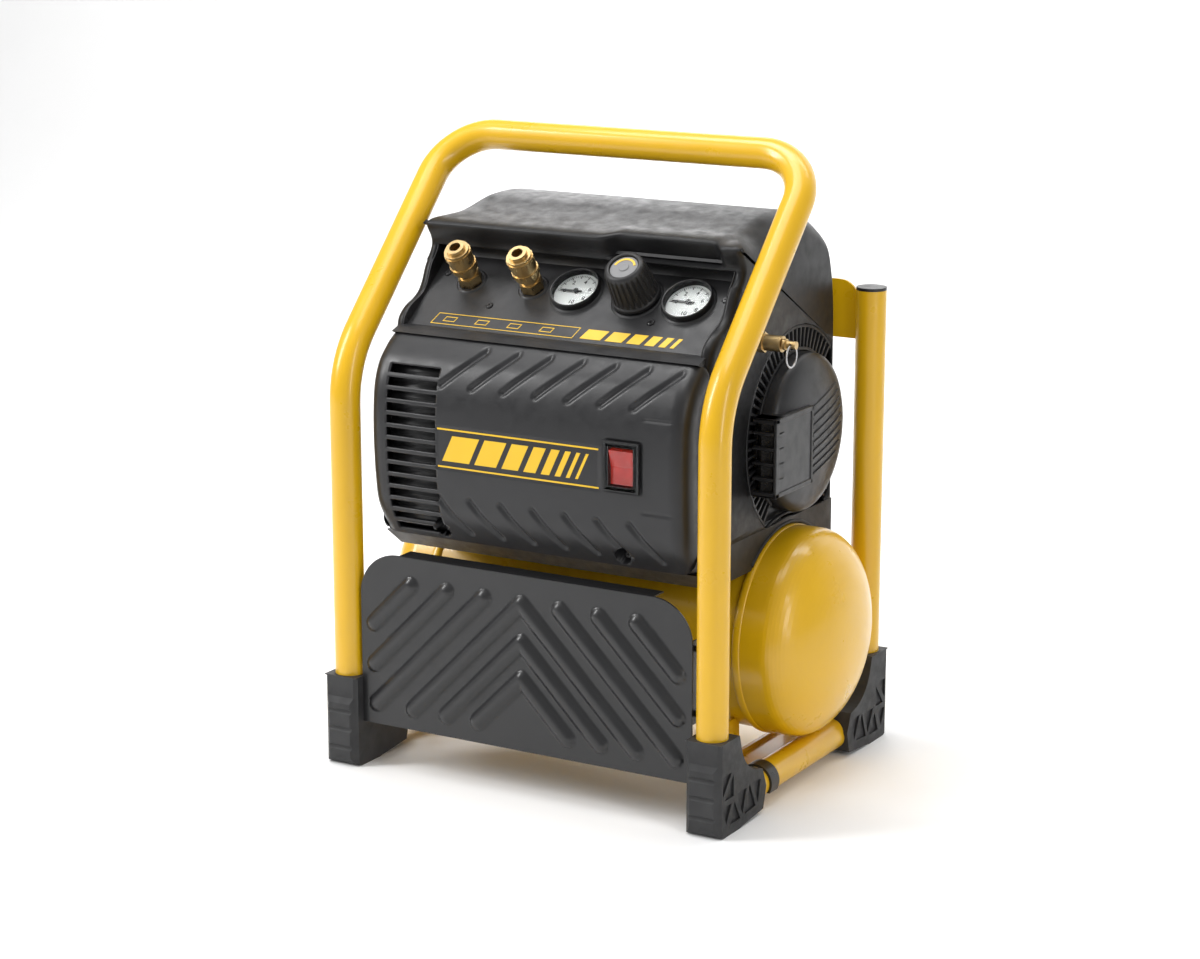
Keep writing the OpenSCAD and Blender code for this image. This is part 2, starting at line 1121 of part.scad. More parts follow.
module switch_housing()
{
    color("black")
        difference() {
            union() {
                box([switch_x - 18.5, -169, switch_z - 23.5], [switch_x + 18.5, -166, switch_z + 23.5]);
                box([switch_x - 15, -167, switch_z - 20], [switch_x + 15, -140, switch_z + 20]);
            }
            box([switch_x - 13, -175, switch_z - 18.5], [switch_x + 13, -145, switch_z + 18.5]);
            bar_x(switch_x - 16, switch_x + 16, 1.65, rocker_y, switch_z);
        }
}

// Rocker pressed at its lower end, about its pin
module switch_rocker()
{
    color("red") {
        bar_x(switch_x - 14.6, switch_x + 14.6, 1.5, rocker_y, switch_z);
        translate([0, rocker_y, switch_z])
            rotate([8, 0, 0])
                yz(switch_x - 12.6, switch_x + 12.6)
                    polygon([[-9, -16.4], [-6.6, 0], [-9, 16.4], [-2, 16.4], [7, 3], [7, -3],
                        [-2, -16.4]]);
    }
}

module switch_cover()
{
    color([0.9, 0.9, 0.9, 0.4])
        difference() {
            box([switch_x - 16, -173, switch_z - 21], [switch_x + 16, -169, switch_z + 21]);
            box([switch_x - 14.5, -171.6, switch_z - 19.5], [switch_x + 14.5, -168, switch_z + 19.5]);
        }
}

// ---- shroud ----

// Front cover outline [y, z, inward y, inward z]
cover_pts = [[cover_back, cover_bottom, 0, 1], [-141, cover_bottom, 0.6, 1], [-158, 262, 1, 0.3], [-163, 285, 1, 0.1],
    [-165.5, 315, 1, 0], [-166, 350, 1, 0], [-163, 382, 1, -0.1], [-154, 405, 0.9, -0.4],
    [-139, 421, 0.6, -0.8], [-126, 430, 0.5, -1], [cover_back, 431, 0, -1]];

module cover_solid(t)
{
    r = 16;
    hw = body_hw - t;
    intersection() {
        yz(-hw, hw)
            polygon(inset(cover_pts, t));
        translate([0, 0, 200])
            linear_extrude(260) {
                translate([-hw, -166 + r])
                    square([2 * hw, 80]);
                for (s = [-1, 1])
                    translate([s * (hw - r), -166 + t + r])
                        circle(r = r);
                translate([-hw + r, -166 + t - 1])
                    square([2 * (hw - r), 60]);
            }
    }
}

// Rows of slanted grooves: x of the first lower end, pitch, lean
module groove_row(x0, z0, x1, z1)
{
    for (i = [0 : grooves - 1])
        translate([34.8 * i, 0, 0])
            translate([x0, 0, z0])
                rotate([0, atan2(x1 - x0, z1 - z0), 0])
                    translate([-4.5, -180, 0])
                        cube([9, 80, norm([x1 - x0, z1 - z0])]);
}

module front_cover()
{
    color("#3d3e41")
        difference() {
            cover_solid(0);
            intersection() {
                cover_solid(skin);
                box([-400, -400, 0], [400, 0, 500]);
            }
            translate([0, 4, 0])
                intersection() {
                    cover_solid(skin);
                    box([-body_hw + skin, cover_back - 8, cover_bottom + skin],
                        [body_hw - skin, cover_back + 20, 427]);
                }
            difference() {
                union() {
                    groove_row(-92, 389, -54, 421);
                    groove_row(-67, 246, -95, 281);
                }
                translate([0, 1.6, 0])
                    cover_solid(0);
            }
            for (i = [0 : louvres - 1])
                box([-150, -170, slot_z0 + slot_pitch * i], [slot_x, -134, slot_z0 + slot_pitch * i + slot_h]);
            for (s = [-1, 1])
                translate([s * screw_x, -170, screw_z])
                    rotate([-90, 0, 0])
                        cylinder(h = 40, r = 5);
            box([switch_x - 15.2, -170, switch_z - 20.2], [switch_x + 15.2, -150, switch_z + 20.2]);
        }
}

// Hood outline [y, z, inward y, inward z]
hood_pts = [[cover_back, hood_bottom, 0, 0], [cover_back, 434, 0, -1], [-107, 450, 0.5, -1],
    [-84, 458, 0.6, -1], [-74, 468, 1, -0.6], [-67, 486, 1, -0.4], [-57, 495, 1, -0.3],
    [-55, 512, 1, -0.6], [-38, 522, 0.3, -1], [0, 533, 0, -1], [30, 545, 0, -1], [75, 545, 0, -1],
    [104, 535, -0.4, -1], [125, 509, -0.9, -0.5], [136, 465, -1, -0.1], [139, 420, -1, 0],
    [139, hood_bottom, -1, 0]];

module hood_solid(t)
{
    intersection() {
        yz(-body_hw + t, body_hw - t)
            polygon(inset(hood_pts, t));
        xz(-200, 200)
            polygon([[-body_hw + t, 200], [-body_hw + t, 512], [-164 + t, 531], [-146 + t / 2, 545 - t],
                [146 - t / 2, 545 - t], [164 - t, 531], [body_hw - t, 512], [body_hw - t, 200]]);
    }
}

module rear_hood()
{
    color("#3a3b3e")
        difference() {
            hood_solid(0);
            hood_solid(skin);
            box([-400, cover_back - 1, 200], [400, cover_back + eps, 434 - skin]);
            box([-body_hw + skin, -130, hood_bottom - 1],
                [body_hw - skin, 139 - skin, hood_bottom + skin + 1]);
            yz(-163, 163)
                polygon([[-140, 380], [-119, 420], [panel_y - 2, panel_z - 4], [-36, 491], [-27, 510],
                    [-62, 514], [-140, 514]]);
            box([97, -70, 480], [148, -30, 516]);
            both_sides()
                side_hole(0.3);
            bar_x(160, 180, 6.5, bar_y, bar_z);
            for (i = [0 : 7])
                box([-110, 130, 268 + 12 * i], [110, 145, 275 + 12 * i]);
            translate([-130, 120, 262])
                rotate([-90, 0, 0])
                    cylinder(h = 40, r = 8.2);
        }
}

// Sloping fascia, the wall behind it and the strip under the hood's lip
module control_panel()
{
    wall = 3;
    color("#55575a")
        difference() {
            yz(-162.5, 162.5)
                polygon([[panel_y, panel_z], [-37, 490.8], [-31.5, 505], [-49.6, 509.3],
                    [-48.6, 512], [-27.6, 506.5], [-34.2, 489], [panel_y + 1.9, panel_z - 2.4]]);
            for (x = gauge_x)
                on_panel(x, panel_row, -wall - 2)
                    cylinder(h = 8, r = gauge_r + 0.2);
            for (x = coupler_x)
                on_panel(x, panel_row, -wall - 2)
                    cylinder(h = 8, r = 8.3);
            on_panel(knob_x, panel_row, -wall - 2)
                cylinder(h = 8, r = 15.3);
            for (p = [[-150, 70], [155, 70], [-85, 34], [92, 34]])
                on_panel(p[0], p[1], -1)
                    cylinder(h = 3, r = 4);
        }
}

// Round opening in the side of the hood, flattened at the back so that a rim is left
module side_hole(gap)
{
    difference() {
        bar_x(168.5 - gap, body_hw + gap, grille_r + gap, motor_y, motor_z);
        box([160, side_rim_y + gap, 200], [180, 300, 480]);
    }
    bar_x(168.5 - gap, body_hw + gap, cover_r + 0.5, motor_y, motor_z);
}

module side_grille()
{
    difference() {
        bar_x(168.5, body_hw, grille_r, motor_y, motor_z);
        box([160, side_rim_y, 200], [180, 300, 480]);
        box([160, -100, 200], [180, 300, hood_bottom + 0.3]);
        bar_x(160, 180, cover_r + 0.5, motor_y, motor_z);
        for (a = [-40 : 10 : 220])
            if (a <= 140 || a == 220)
                translate([160, motor_y, motor_z])
                rotate([a, 0, 0])
                    translate([0, -2.6, 86])
                        cube([20, 5.2, 14]);
    }
}

module side_grilles()
{
    color("#2f3032")
        both_sides()
            side_grille();
}

duct_lo = [body_hw + 0.3, -35, 288];
duct_hi = [199, 43, 364];

// Domed end cover over the crankcase, with the intake duct moulded on its front half
module pump_end_cover()
{
    color("#3a3b3e")
        difference() {
            union() {
                translate([166, motor_y, motor_z])
                    rotate([0, 90, 0])
                        rotate_extrude($fn = 96)
                            polygon([[0, 0], [cover_r, 0], [cover_r, 18], [cover_r - 4, 24], [64, 28],
                                [40, 31], [0, 32]]);
                box(duct_lo, duct_hi);
            }
            translate([160, motor_y, motor_z])
                rotate([0, 90, 0])
                    rotate_extrude($fn = 96)
                        polygon([[0, 0], [cover_r - 3, 0], [cover_r - 3, 23], [cover_r - 7, 27], [63, 31],
                            [40, 34], [0, 35]]);
            box([160, duct_lo[1] + 3, duct_lo[2] + 3], [duct_hi[0] - 3.5, duct_hi[1] - 3, duct_hi[2] - 3]);
            box([duct_hi[0] - 1.5, duct_lo[1] + 14, duct_lo[2] + 10],
                [duct_hi[0] + 1, duct_hi[1] - 8, duct_hi[2] - 10]);
            for (i = [0 : 3])
                box([176, duct_lo[1] - 5, duct_lo[2] + 10 + 15 * i],
                    [192, duct_lo[1] + 5, duct_lo[2] + 17 + 15 * i]);
        }
}

module air_filter()
{
    color("khaki")
        box([180, duct_lo[1] + 6, 293], [192, 12, 359]);
}

module fan_cover()
{
    color("#3a3b3e")
        difference() {
            translate([-166, motor_y, motor_z])
                rotate([0, -90, 0])
                    rotate_extrude($fn = 96)
                        polygon([[0, 8], [cover_r - 3, 8], [cover_r - 3, 0], [cover_r, 0],
                            [cover_r, 9], [cover_r - 3, 12], [0, 14]]);
            for (ring = [22, 44], a = [0 : 15 : 345])
                translate([-190, motor_y, motor_z])
                    rotate([a + ring, 0, 0])
                        translate([0, ring == 22 ? -1.5 : -2.5, ring])
                            cube([30, ring == 22 ? 3 : 5, ring == 22 ? 16 : 26]);
        }
}

// Tray under the shroud that saddles the tank
module lower_pan()
{
    color("#2f3032")
        difference() {
            yz(-body_hw, body_hw)
                polygon([[-136, cover_bottom - 0.2], [-111, 215], [139, 215],
                    [139, hood_bottom - 0.2], [cover_back + 0.2, hood_bottom - 0.2],
                    [cover_back + 0.2, cover_bottom - 0.2]]);
            bar_x(-200, 200, tank_r + 1.5, tank_y, tank_z);
            difference() {
                yz(-body_hw + skin, body_hw - skin)
                    polygon([[-129, cover_bottom], [-110, 218], [136, 218], [136, hood_bottom + 1],
                        [cover_back + skin, hood_bottom + 1], [cover_back + skin, cover_bottom]]);
                bar_x(-200, 200, tank_r + 3.5, tank_y, tank_z);
            }
            for (x = [-60, 60])
                box([x - 3, motor_y - 62, 180], [x + 3, motor_y + 62, 250]);
            translate([check_x, tank_y, 200])
                cylinder(h = 60, r = 11);
            translate([outlet_x, bar_y, 190])
                cylinder(h = 60, r = 10);
        }
}

module cable_gland()
{
    color("black")
        difference() {
            union() {
                translate([-130, 132, 262])
                    rotate([-90, 0, 0])
                        cylinder(h = 24, r = 8);
                translate([-130, 139, 262])
                    rotate([-90, 0, 0])
                        cylinder(h = 6, r = 12, $fn = 6);
                translate([-130, 145, 262])
                    rotate([-90, 0, 0])
                        cylinder(h = 13, r = 9);
            }
            translate([-130, 130, 262])
                rotate([-90, 0, 0])
                    cylinder(h = 40, r = 4.2);
        }
}

cage_tube();
tube_end_plugs();
foot_front_left();
foot_front_right();
foot_rear_left();
foot_rear_right();
front_guard();
guard_fixings();
rear_cross_plate();
tank_shell();
tank_heads();
tank_brackets();
tank_bungs();
drain_valve_knob();
check_valve();
pump_platform();
rubber_mounts();
motor_stator();
stator_windings();
motor_rotor();
motor_shaft();
shaft_bearings();
motor_end_bracket();
crankcase();
cooling_fan();
crank_eccentric();
piston_rod();
pump_cylinder();
cylinder_head();
air_pipes();
air_filter();
capacitor();
pressure_switch();
manifold();
regulator_body();
regulator_knob();
regulator_screw();
regulator_spring();
gauge_cases();
gauge_dials();
gauge_lenses();
gauge_needle_left();
gauge_needle_right();
coupler_bodies();
coupler_sleeve_left();
coupler_sleeve_right();
safety_valve_body();
safety_valve_stem();
safety_valve_ring();
switch_housing();
switch_rocker();
switch_cover();
front_cover();
control_panel();
rear_hood();
side_grilles();
pump_end_cover();
fan_cover();
lower_pan();
cable_gland();
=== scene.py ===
"""Looks for the roll-cage air compressor: smooth shells, moulded detail and materials around the CAD frame."""
import json
import math

import bmesh
import bpy
from mathutils import Matrix, Vector


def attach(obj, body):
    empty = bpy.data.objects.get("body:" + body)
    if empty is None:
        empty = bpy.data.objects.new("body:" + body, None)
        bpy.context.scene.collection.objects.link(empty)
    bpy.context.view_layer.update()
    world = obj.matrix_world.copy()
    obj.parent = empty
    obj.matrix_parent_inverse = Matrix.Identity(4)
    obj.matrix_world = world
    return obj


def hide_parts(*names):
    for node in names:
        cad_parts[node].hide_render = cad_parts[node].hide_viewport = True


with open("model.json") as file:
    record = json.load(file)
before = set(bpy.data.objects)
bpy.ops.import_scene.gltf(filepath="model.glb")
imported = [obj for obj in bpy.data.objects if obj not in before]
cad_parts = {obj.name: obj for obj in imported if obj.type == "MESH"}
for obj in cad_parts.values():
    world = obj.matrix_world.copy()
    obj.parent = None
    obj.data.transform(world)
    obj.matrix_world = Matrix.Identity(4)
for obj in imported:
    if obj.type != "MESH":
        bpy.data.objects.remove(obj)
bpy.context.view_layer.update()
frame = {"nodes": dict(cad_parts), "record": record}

MM = 0.001

# ---- dimensions shared with the CAD frame, in millimetres ----
TUBE_R = 15.0
SIDE_X = 201.4
FRONT_Y = -161.15
REAR_Y = 161.15
RUNNER_Z = 22.0
RIB_R = 8.6
KNEE_Z = 399.2
HANDLE_Y = 32.85
HANDLE_Z = 602.2
REAR_TOP_Z = 458.0
BOTTOM_BEND = 55.0
KNEE_BEND = 100.0
HAND_BEND = 55.0

GUARD_HW = 183.0
GUARD_Y = -167.0
GUARD_Z0 = 45.0
GUARD_Z1 = 218.0

BODY_HW = 173.0
COVER_BACK = -120.0
PANEL_Y = -111.0
PANEL_Z = 433.0
PANEL_TILT = math.radians(38.0)
PANEL_ROW = 62.0
GAUGE_X = (-1.0, 120.0)
COUPLER_X = (-119.0, -49.0)
KNOB_X = 65.0

TANK_Y = 38.85
TANK_Z = 140.5

MOTOR_Y = 58.0
MOTOR_Z = 333.0


# ---- camera, light and floor ----

def camera():
    """The camera stands where the photograph was taken from: right of the front and slightly above."""
    yaw, pitch = 0.530, 0.237
    data = bpy.data.cameras.new("camera")
    data.sensor_width = 36.0
    data.lens = 86.51
    data.clip_start, data.clip_end = 0.1, 30.0
    cam = bpy.data.objects.new("camera", data)
    cam.location = (1.3799, -2.3756, 0.9395)
    cam.rotation_euler = (math.pi / 2 - pitch, 0.0, yaw)
    bpy.context.scene.collection.objects.link(cam)
    bpy.context.scene.camera = cam


def area_light(name, place, target, size, power):
    data = bpy.data.lights.new(name, "AREA")
    data.shape = "RECTANGLE"
    data.size, data.size_y = size
    data.energy = power
    lamp = bpy.data.objects.new(name, data)
    lamp.location = place
    lamp.rotation_euler = (Vector(target) - Vector(place)).to_track_quat("-Z", "Y").to_euler()
    bpy.context.scene.collection.objects.link(lamp)


def studio():
    """Pale sweep behind and under the object, with soft boxes on both sides and above."""
    world = bpy.data.worlds.new("studio")
    bpy.context.scene.world = world
    world.use_nodes = True
    back = world.node_tree.nodes["Background"]
    back.inputs["Color"].default_value = (1.0, 1.0, 1.0, 1.0)
    back.inputs["Strength"].default_value = 0.42
    bpy.context.scene.view_settings.view_transform = "Standard"
    middle = (0.0, 0.0, 0.3)
    area_light("key", (-2.1, -1.7, 2.0), middle, (0.7, 1.8), 62.0)
    area_light("fill", (2.6, -1.2, 1.1), middle, (0.4, 2.0), 18.0)
    area_light("top", (-0.2, -0.4, 2.6), middle, (1.8, 1.2), 26.0)
    area_light("rim", (-1.5, 2.2, 1.6), middle, (0.8, 1.6), 8.0)
    area_light("backdrop", (0.0, 0.6, 2.6), (-1.4, 2.6, 0.4), (3.0, 1.0), 60.0)

    mesh = bpy.data.meshes.new("floor")
    size, steps, radius = 3.0, 12, 0.8
    profile = [(-size, 0.0)]
    profile += [(1.8 + radius * math.sin(a), radius - radius * math.cos(a))
                for a in (math.pi / 2 * i / steps for i in range(steps + 1))]
    profile.append((1.8 + radius, size))
    verts = [(x, y, z) for y, z in profile for x in (-size * 1.5, size * 1.5)]
    faces = [(2 * i, 2 * i + 1, 2 * i + 3, 2 * i + 2) for i in range(len(profile) - 1)]
    mesh.from_pydata(verts, [], faces)
    floor = bpy.data.objects.new("floor", mesh)
    bpy.context.scene.collection.objects.link(floor)
    for polygon in mesh.polygons:
        polygon.use_smooth = True
    floor.data.materials.append(floor_material())


# ---- materials ----

class Shader:
    """A small helper around one material's node tree."""

    def __init__(self, name, colour, rough, metal=0.0):
        self.mat = bpy.data.materials.new(name)
        self.mat.use_nodes = True
        self.tree = self.mat.node_tree
        self.bsdf = self.tree.nodes["Principled BSDF"]
        self.set("Base Color", (*colour, 1.0))
        self.set("Roughness", rough)
        self.set("Metallic", metal)
        self.coords = self.node("ShaderNodeTexCoord").outputs["Object"]

    def set(self, socket, value):
        self.bsdf.inputs[socket].default_value = value

    def node(self, kind, **settings):
        node = self.tree.nodes.new(kind)
        for key, value in settings.items():
            if hasattr(node, key):
                setattr(node, key, value)
            else:
                node.inputs[key].default_value = value
        return node

    def link(self, a, b):
        self.tree.links.new(a, b)

    def noise(self, scale, detail=3.0, rough=0.55, stretch=None):
        source = self.coords
        if stretch:
            mapping = self.node("ShaderNodeMapping")
            mapping.inputs["Scale"].default_value = stretch
            self.link(source, mapping.inputs["Vector"])
            source = mapping.outputs["Vector"]
        node = self.node("ShaderNodeTexNoise", Scale=scale, Detail=detail, Roughness=rough)
        self.link(source, node.inputs["Vector"])
        return node.outputs["Fac"]

    def ramp(self, value, stops):
        node = self.node("ShaderNodeValToRGB")
        elements = node.color_ramp.elements
        while len(elements) < len(stops):
            elements.new(0.5)
        for element, (place, colour) in zip(elements, stops):
            element.position = place
            element.color = (*colour, 1.0)
        self.link(value, node.inputs["Fac"])
        return node.outputs["Color"]

    def spread(self, value, low, high):
        node = self.node("ShaderNodeMapRange")
        node.inputs["From Min"].default_value = 0.3
        node.inputs["From Max"].default_value = 0.7
        node.inputs["To Min"].default_value = low
        node.inputs["To Max"].default_value = high
        self.link(value, node.inputs["Value"])
        return node.outputs["Result"]

    def rough(self, value, low, high):
        self.link(self.spread(value, low, high), self.bsdf.inputs["Roughness"])

    def bump(self, value, distance, strength=1.0):
        node = self.node("ShaderNodeBump", Strength=strength, Distance=distance)
        self.link(value, node.inputs["Height"])
        if self.bsdf.inputs["Normal"].is_linked:
            self.link(self.bsdf.inputs["Normal"].links[0].from_socket, node.inputs["Normal"])
        self.link(node.outputs["Normal"], self.bsdf.inputs["Normal"])

    def worn(self, colour, light, amount=0.5):
        """Mixes a lighter colour in along sharp outer edges and in small scuffs."""
        geometry = self.node("ShaderNodeNewGeometry")
        edges = self.node("ShaderNodeMapRange")
        edges.inputs["From Min"].default_value = 0.53
        edges.inputs["From Max"].default_value = 0.62
        self.link(geometry.outputs["Pointiness"], edges.inputs["Value"])
        patches = self.node("ShaderNodeMath", operation="MULTIPLY")
        self.link(edges.outputs["Result"], patches.inputs[0])
        self.link(self.spread(self.noise(60.0, 4.0), 0.0, amount), patches.inputs[1])
        mix = self.node("ShaderNodeMix", data_type="RGBA")
        self.link(patches.outputs["Value"], mix.inputs["Factor"])
        self.link(colour, mix.inputs["A"])
        mix.inputs["B"].default_value = (*light, 1.0)
        self.link(mix.outputs["Result"], self.bsdf.inputs["Base Color"])


def floor_material():
    s = Shader("floor_paper", (0.93, 0.93, 0.93), 0.7)
    s.link(s.ramp(s.noise(2.0), [(0.3, (0.92, 0.92, 0.92)), (0.7, (0.94, 0.94, 0.94))]),
           s.bsdf.inputs["Base Color"])
    s.set("Specular IOR Level", 0.2)
    return s.mat


def powder_coat(name, colour, rough=0.3, peel=0.00006, coat=0.35):
    """Sprayed powder paint: faint orange peel and a slow change of tone."""
    s = Shader(name, colour, rough)
    dark = tuple(c * 0.93 for c in colour)
    s.link(s.ramp(s.noise(9.0, 2.0), [(0.35, dark), (0.65, colour)]), s.bsdf.inputs["Base Color"])
    s.rough(s.noise(35.0, 4.0), rough - 0.04, rough + 0.07)
    s.bump(s.noise(420.0, 2.0), peel, 0.5)
    s.set("Coat Weight", coat)
    s.set("Coat Roughness", 0.12)
    return s.mat


def moulded_plastic(name, colour, rough, sheen=0.45):
    """Injection-moulded plastic with a fine spark-eroded grain and pale worn edges."""
    s = Shader(name, colour, rough)
    dark = tuple(c * 0.85 for c in colour)
    tone = s.ramp(s.noise(14.0, 3.0), [(0.35, dark), (0.65, colour)])
    s.worn(tone, tuple(c * 1.7 + 0.015 for c in colour), 0.3)
    s.rough(s.noise(80.0, 5.0), rough - 0.07, rough + 0.1)
    s.bump(s.noise(1800.0, 2.0, 0.7), 0.00008, 0.55)
    s.set("Specular IOR Level", sheen)
    return s.mat


def rubber(name):
    colour = (0.02, 0.02, 0.021)
    s = Shader(name, colour, 0.6)
    tone = s.ramp(s.noise(40.0, 4.0), [(0.3, tuple(c * 0.7 for c in colour)), (0.7, colour)])
    s.worn(tone, tuple(c * 2.2 + 0.02 for c in colour), 0.5)
    s.rough(s.noise(120.0, 4.0), 0.5, 0.72)
    s.bump(s.noise(900.0, 3.0, 0.7), 0.00012, 0.6)
    return s.mat


def metal(name, colour, rough, stretch=(1.0, 1.0, 12.0)):
    """Machined metal: turning marks, and a tarnish that changes slowly."""
    s = Shader(name, colour, rough, 1.0)
    s.link(s.ramp(s.noise(30.0, 4.0), [(0.3, tuple(c * 0.8 for c in colour)), (0.65, colour)]),
           s.bsdf.inputs["Base Color"])
    s.rough(s.noise(160.0, 4.0), rough - 0.06, rough + 0.12)
    s.bump(s.noise(700.0, 2.0, stretch=stretch), 0.00002, 0.5)
    return s.mat


def cast_metal(name, colour):
    s = Shader(name, colour, 0.5, 1.0)
    s.link(s.ramp(s.noise(50.0, 5.0), [(0.3, tuple(c * 0.7 for c in colour)), (0.7, colour)]),
           s.bsdf.inputs["Base Color"])
    s.rough(s.noise(90.0, 5.0), 0.4, 0.65)
    s.bump(s.noise(600.0, 4.0, 0.7), 0.0001, 0.8)
    return s.mat


def clear_plastic(name):
    s = Shader(name, (0.96, 0.98, 0.98), 0.04)
    s.rough(s.noise(60.0, 3.0), 0.04, 0.09)
    s.set("Transmission Weight", 1.0)
    s.set("IOR", 1.08)
    return s.mat


def foam(name):
    s = Shader(name, (0.03, 0.03, 0.031), 0.9)
    cells = s.node("ShaderNodeTexVoronoi", Scale=900.0)
    s.link(s.coords, cells.inputs["Vector"])
    s.bump(cells.outputs["Distance"], 0.0006)
    s.link(s.ramp(cells.outputs["Distance"], [(0.1, (0.008, 0.008, 0.008)), (0.7, (0.035, 0.035, 0.036))]),
           s.bsdf.inputs["Base Color"])
    return s.mat


def glowing_red(name):
    s = Shader(name, (0.36, 0.006, 0.006), 0.25)
    s.link(s.ramp(s.noise(90.0, 3.0), [(0.35, (0.26, 0.004, 0.004)), (0.65, (0.42, 0.01, 0.008))]),
           s.bsdf.inputs["Base Color"])
    s.bump(s.noise(500.0, 2.0), 0.00005, 0.4)
    # The emission is a painted glow on the red rocker.
    s.set("Emission Color", (1.0, 0.08, 0.04, 1.0))
    s.set("Emission Strength", 0.12)
    s.set("Coat Weight", 0.5)
    return s.mat


def printed(name, colour, rough=0.5):
    s = Shader(name, colour, rough)
    s.link(s.ramp(s.noise(25.0, 3.0), [(0.3, tuple(c * 0.94 for c in colour)), (0.7, colour)]),
           s.bsdf.inputs["Base Color"])
    s.rough(s.noise(200.0, 3.0), rough - 0.05, rough + 0.08)
    s.bump(s.noise(1500.0, 2.0), 0.00002, 0.4)
    return s.mat


YELLOW = (0.74, 0.425, 0.004)
MATERIALS = {
    "cage_paint": powder_coat("cage_paint", YELLOW),
    "guard_paint": powder_coat("guard_paint", (0.013, 0.013, 0.014), 0.33, 0.0001, 0.15),
    "black_plastic": moulded_plastic("black_plastic", (0.011, 0.011, 0.012), 0.34),
    "shroud_plastic": moulded_plastic("shroud_plastic", (0.018, 0.018, 0.0195), 0.36),
    "panel_plastic": moulded_plastic("panel_plastic", (0.019, 0.019, 0.0205), 0.42),
    "hood_plastic": moulded_plastic("hood_plastic", (0.014, 0.014, 0.015), 0.38, sheen=0.28),
    "dark_plastic": moulded_plastic("dark_plastic", (0.014, 0.014, 0.015), 0.44),
    "foot_rubber": rubber("foot_rubber"),
    "steel": metal("steel", (0.56, 0.56, 0.57), 0.3),
    "brass": metal("brass", (0.62, 0.45, 0.22), 0.32, stretch=(1.0, 6.0, 6.0)),
    "copper": metal("copper", (0.75, 0.36, 0.2), 0.32),
    "cast_aluminium": cast_metal("cast_aluminium", (0.62, 0.63, 0.65)),
    "filter_foam": foam("filter_foam"),
    "capacitor_shell": printed("capacitor_shell", (0.8, 0.8, 0.77), 0.35),
    "dial_white": printed("dial_white", (0.86, 0.86, 0.84)),
    "clear_lens": clear_plastic("clear_lens"),
    "needle_black": printed("needle_black", (0.015, 0.015, 0.015), 0.4),
    "rocker_red": glowing_red("rocker_red"),
}
PRINT_YELLOW = printed("print_yellow", (0.84, 0.52, 0.02), 0.4)
PRINT_RED = printed("print_red", (0.6, 0.02, 0.015), 0.4)
CAP_GREY = printed("cap_grey", (0.2, 0.2, 0.205), 0.45)


# ---- mesh helpers ----

def piece(name, mesh, slot, body="frame", replaces=(), material=None, smooth=40.0):
    """Links a mesh as a piece of the object: smooth shading, its material, its body and its CAD nodes."""
    obj = bpy.data.objects.new(name, mesh)
    bpy.context.scene.collection.objects.link(obj)
    mesh.materials.append(material or MATERIALS[slot])
    shade(obj, smooth)
    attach(obj, body)
    if replaces:
        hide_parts(*replaces)
    return obj


def shade(obj, angle):
    """Smooth shading that keeps edges sharper than the angle, in degrees."""
    mesh = obj.data
    mesh.shade_smooth()
    mesh.set_sharp_from_angle(angle=math.radians(angle))


def mesh_of(name, verts, faces):
    """A mesh from points in millimetres."""
    mesh = bpy.data.meshes.new(name)
    mesh.from_pydata([tuple(c * MM for c in v) for v in verts], [], faces)
    mesh.validate()
    return mesh


def grid_faces(rows, columns, closed_columns=False):
    """Quads between the points of a grid. Closed columns join the last one to the first."""
    faces = []
    for i in range(rows - 1):
        for j in range(columns if closed_columns else columns - 1):
            a, b = i * columns + j, i * columns + (j + 1) % columns
            faces.append((a, b, b + columns, a + columns))
    return faces


def tube_faces(sections, n):
    """Side quads of a bar with n corners, and its two ends."""
    last = (sections - 1) * n
    ends = [tuple(reversed(range(n))), tuple(range(last, last + n))]
    return grid_faces(sections, n, closed_columns=True) + ends


def arc(cx, cy, r, a0, a1, steps):
    """Points of an arc, angles in degrees."""
    return [(cx + r * math.cos(math.radians(a0 + (a1 - a0) * i / steps)),
             cy + r * math.sin(math.radians(a0 + (a1 - a0) * i / steps))) for i in range(steps + 1)]


def fillet(points, radii, steps=8):
    """An open polyline of 3D points with each inner corner rounded to its radius."""
    out = [Vector(points[0])]
    for before, corner, after, r in zip(points, points[1:], points[2:], radii):
        before, corner, after = Vector(before), Vector(corner), Vector(after)
        u, v = (before - corner).normalized(), (after - corner).normalized()
        half = u.angle(v) / 2
        centre = corner + (u + v).normalized() * r / math.sin(half)
        start, end = corner + u * r / math.tan(half), corner + v * r / math.tan(half)
        for i in range(steps + 1):
            arm = (start - centre).slerp(end - centre, i / steps)
            out.append(centre + arm.normalized() * r)
    out.append(Vector(points[-1]))
    return out


def sweep(path, radius, sides):
    """A round bar along a path, with frames carried along it so that it doesn't twist."""
    verts = []
    tangent = (path[1] - path[0]).normalized()
    normal = tangent.orthogonal().normalized()
    for i, point in enumerate(path):
        ahead = path[min(i + 1, len(path) - 1)] - path[max(i - 1, 0)]
        new = ahead.normalized()
        normal.rotate(tangent.rotation_difference(new))
        tangent = new
        side = tangent.cross(normal)
        for k in range(sides):
            a = 2 * math.pi * k / sides
            verts.append(point + (normal * math.cos(a) + side * math.sin(a)) * radius)
    return verts, tube_faces(len(path), sides)


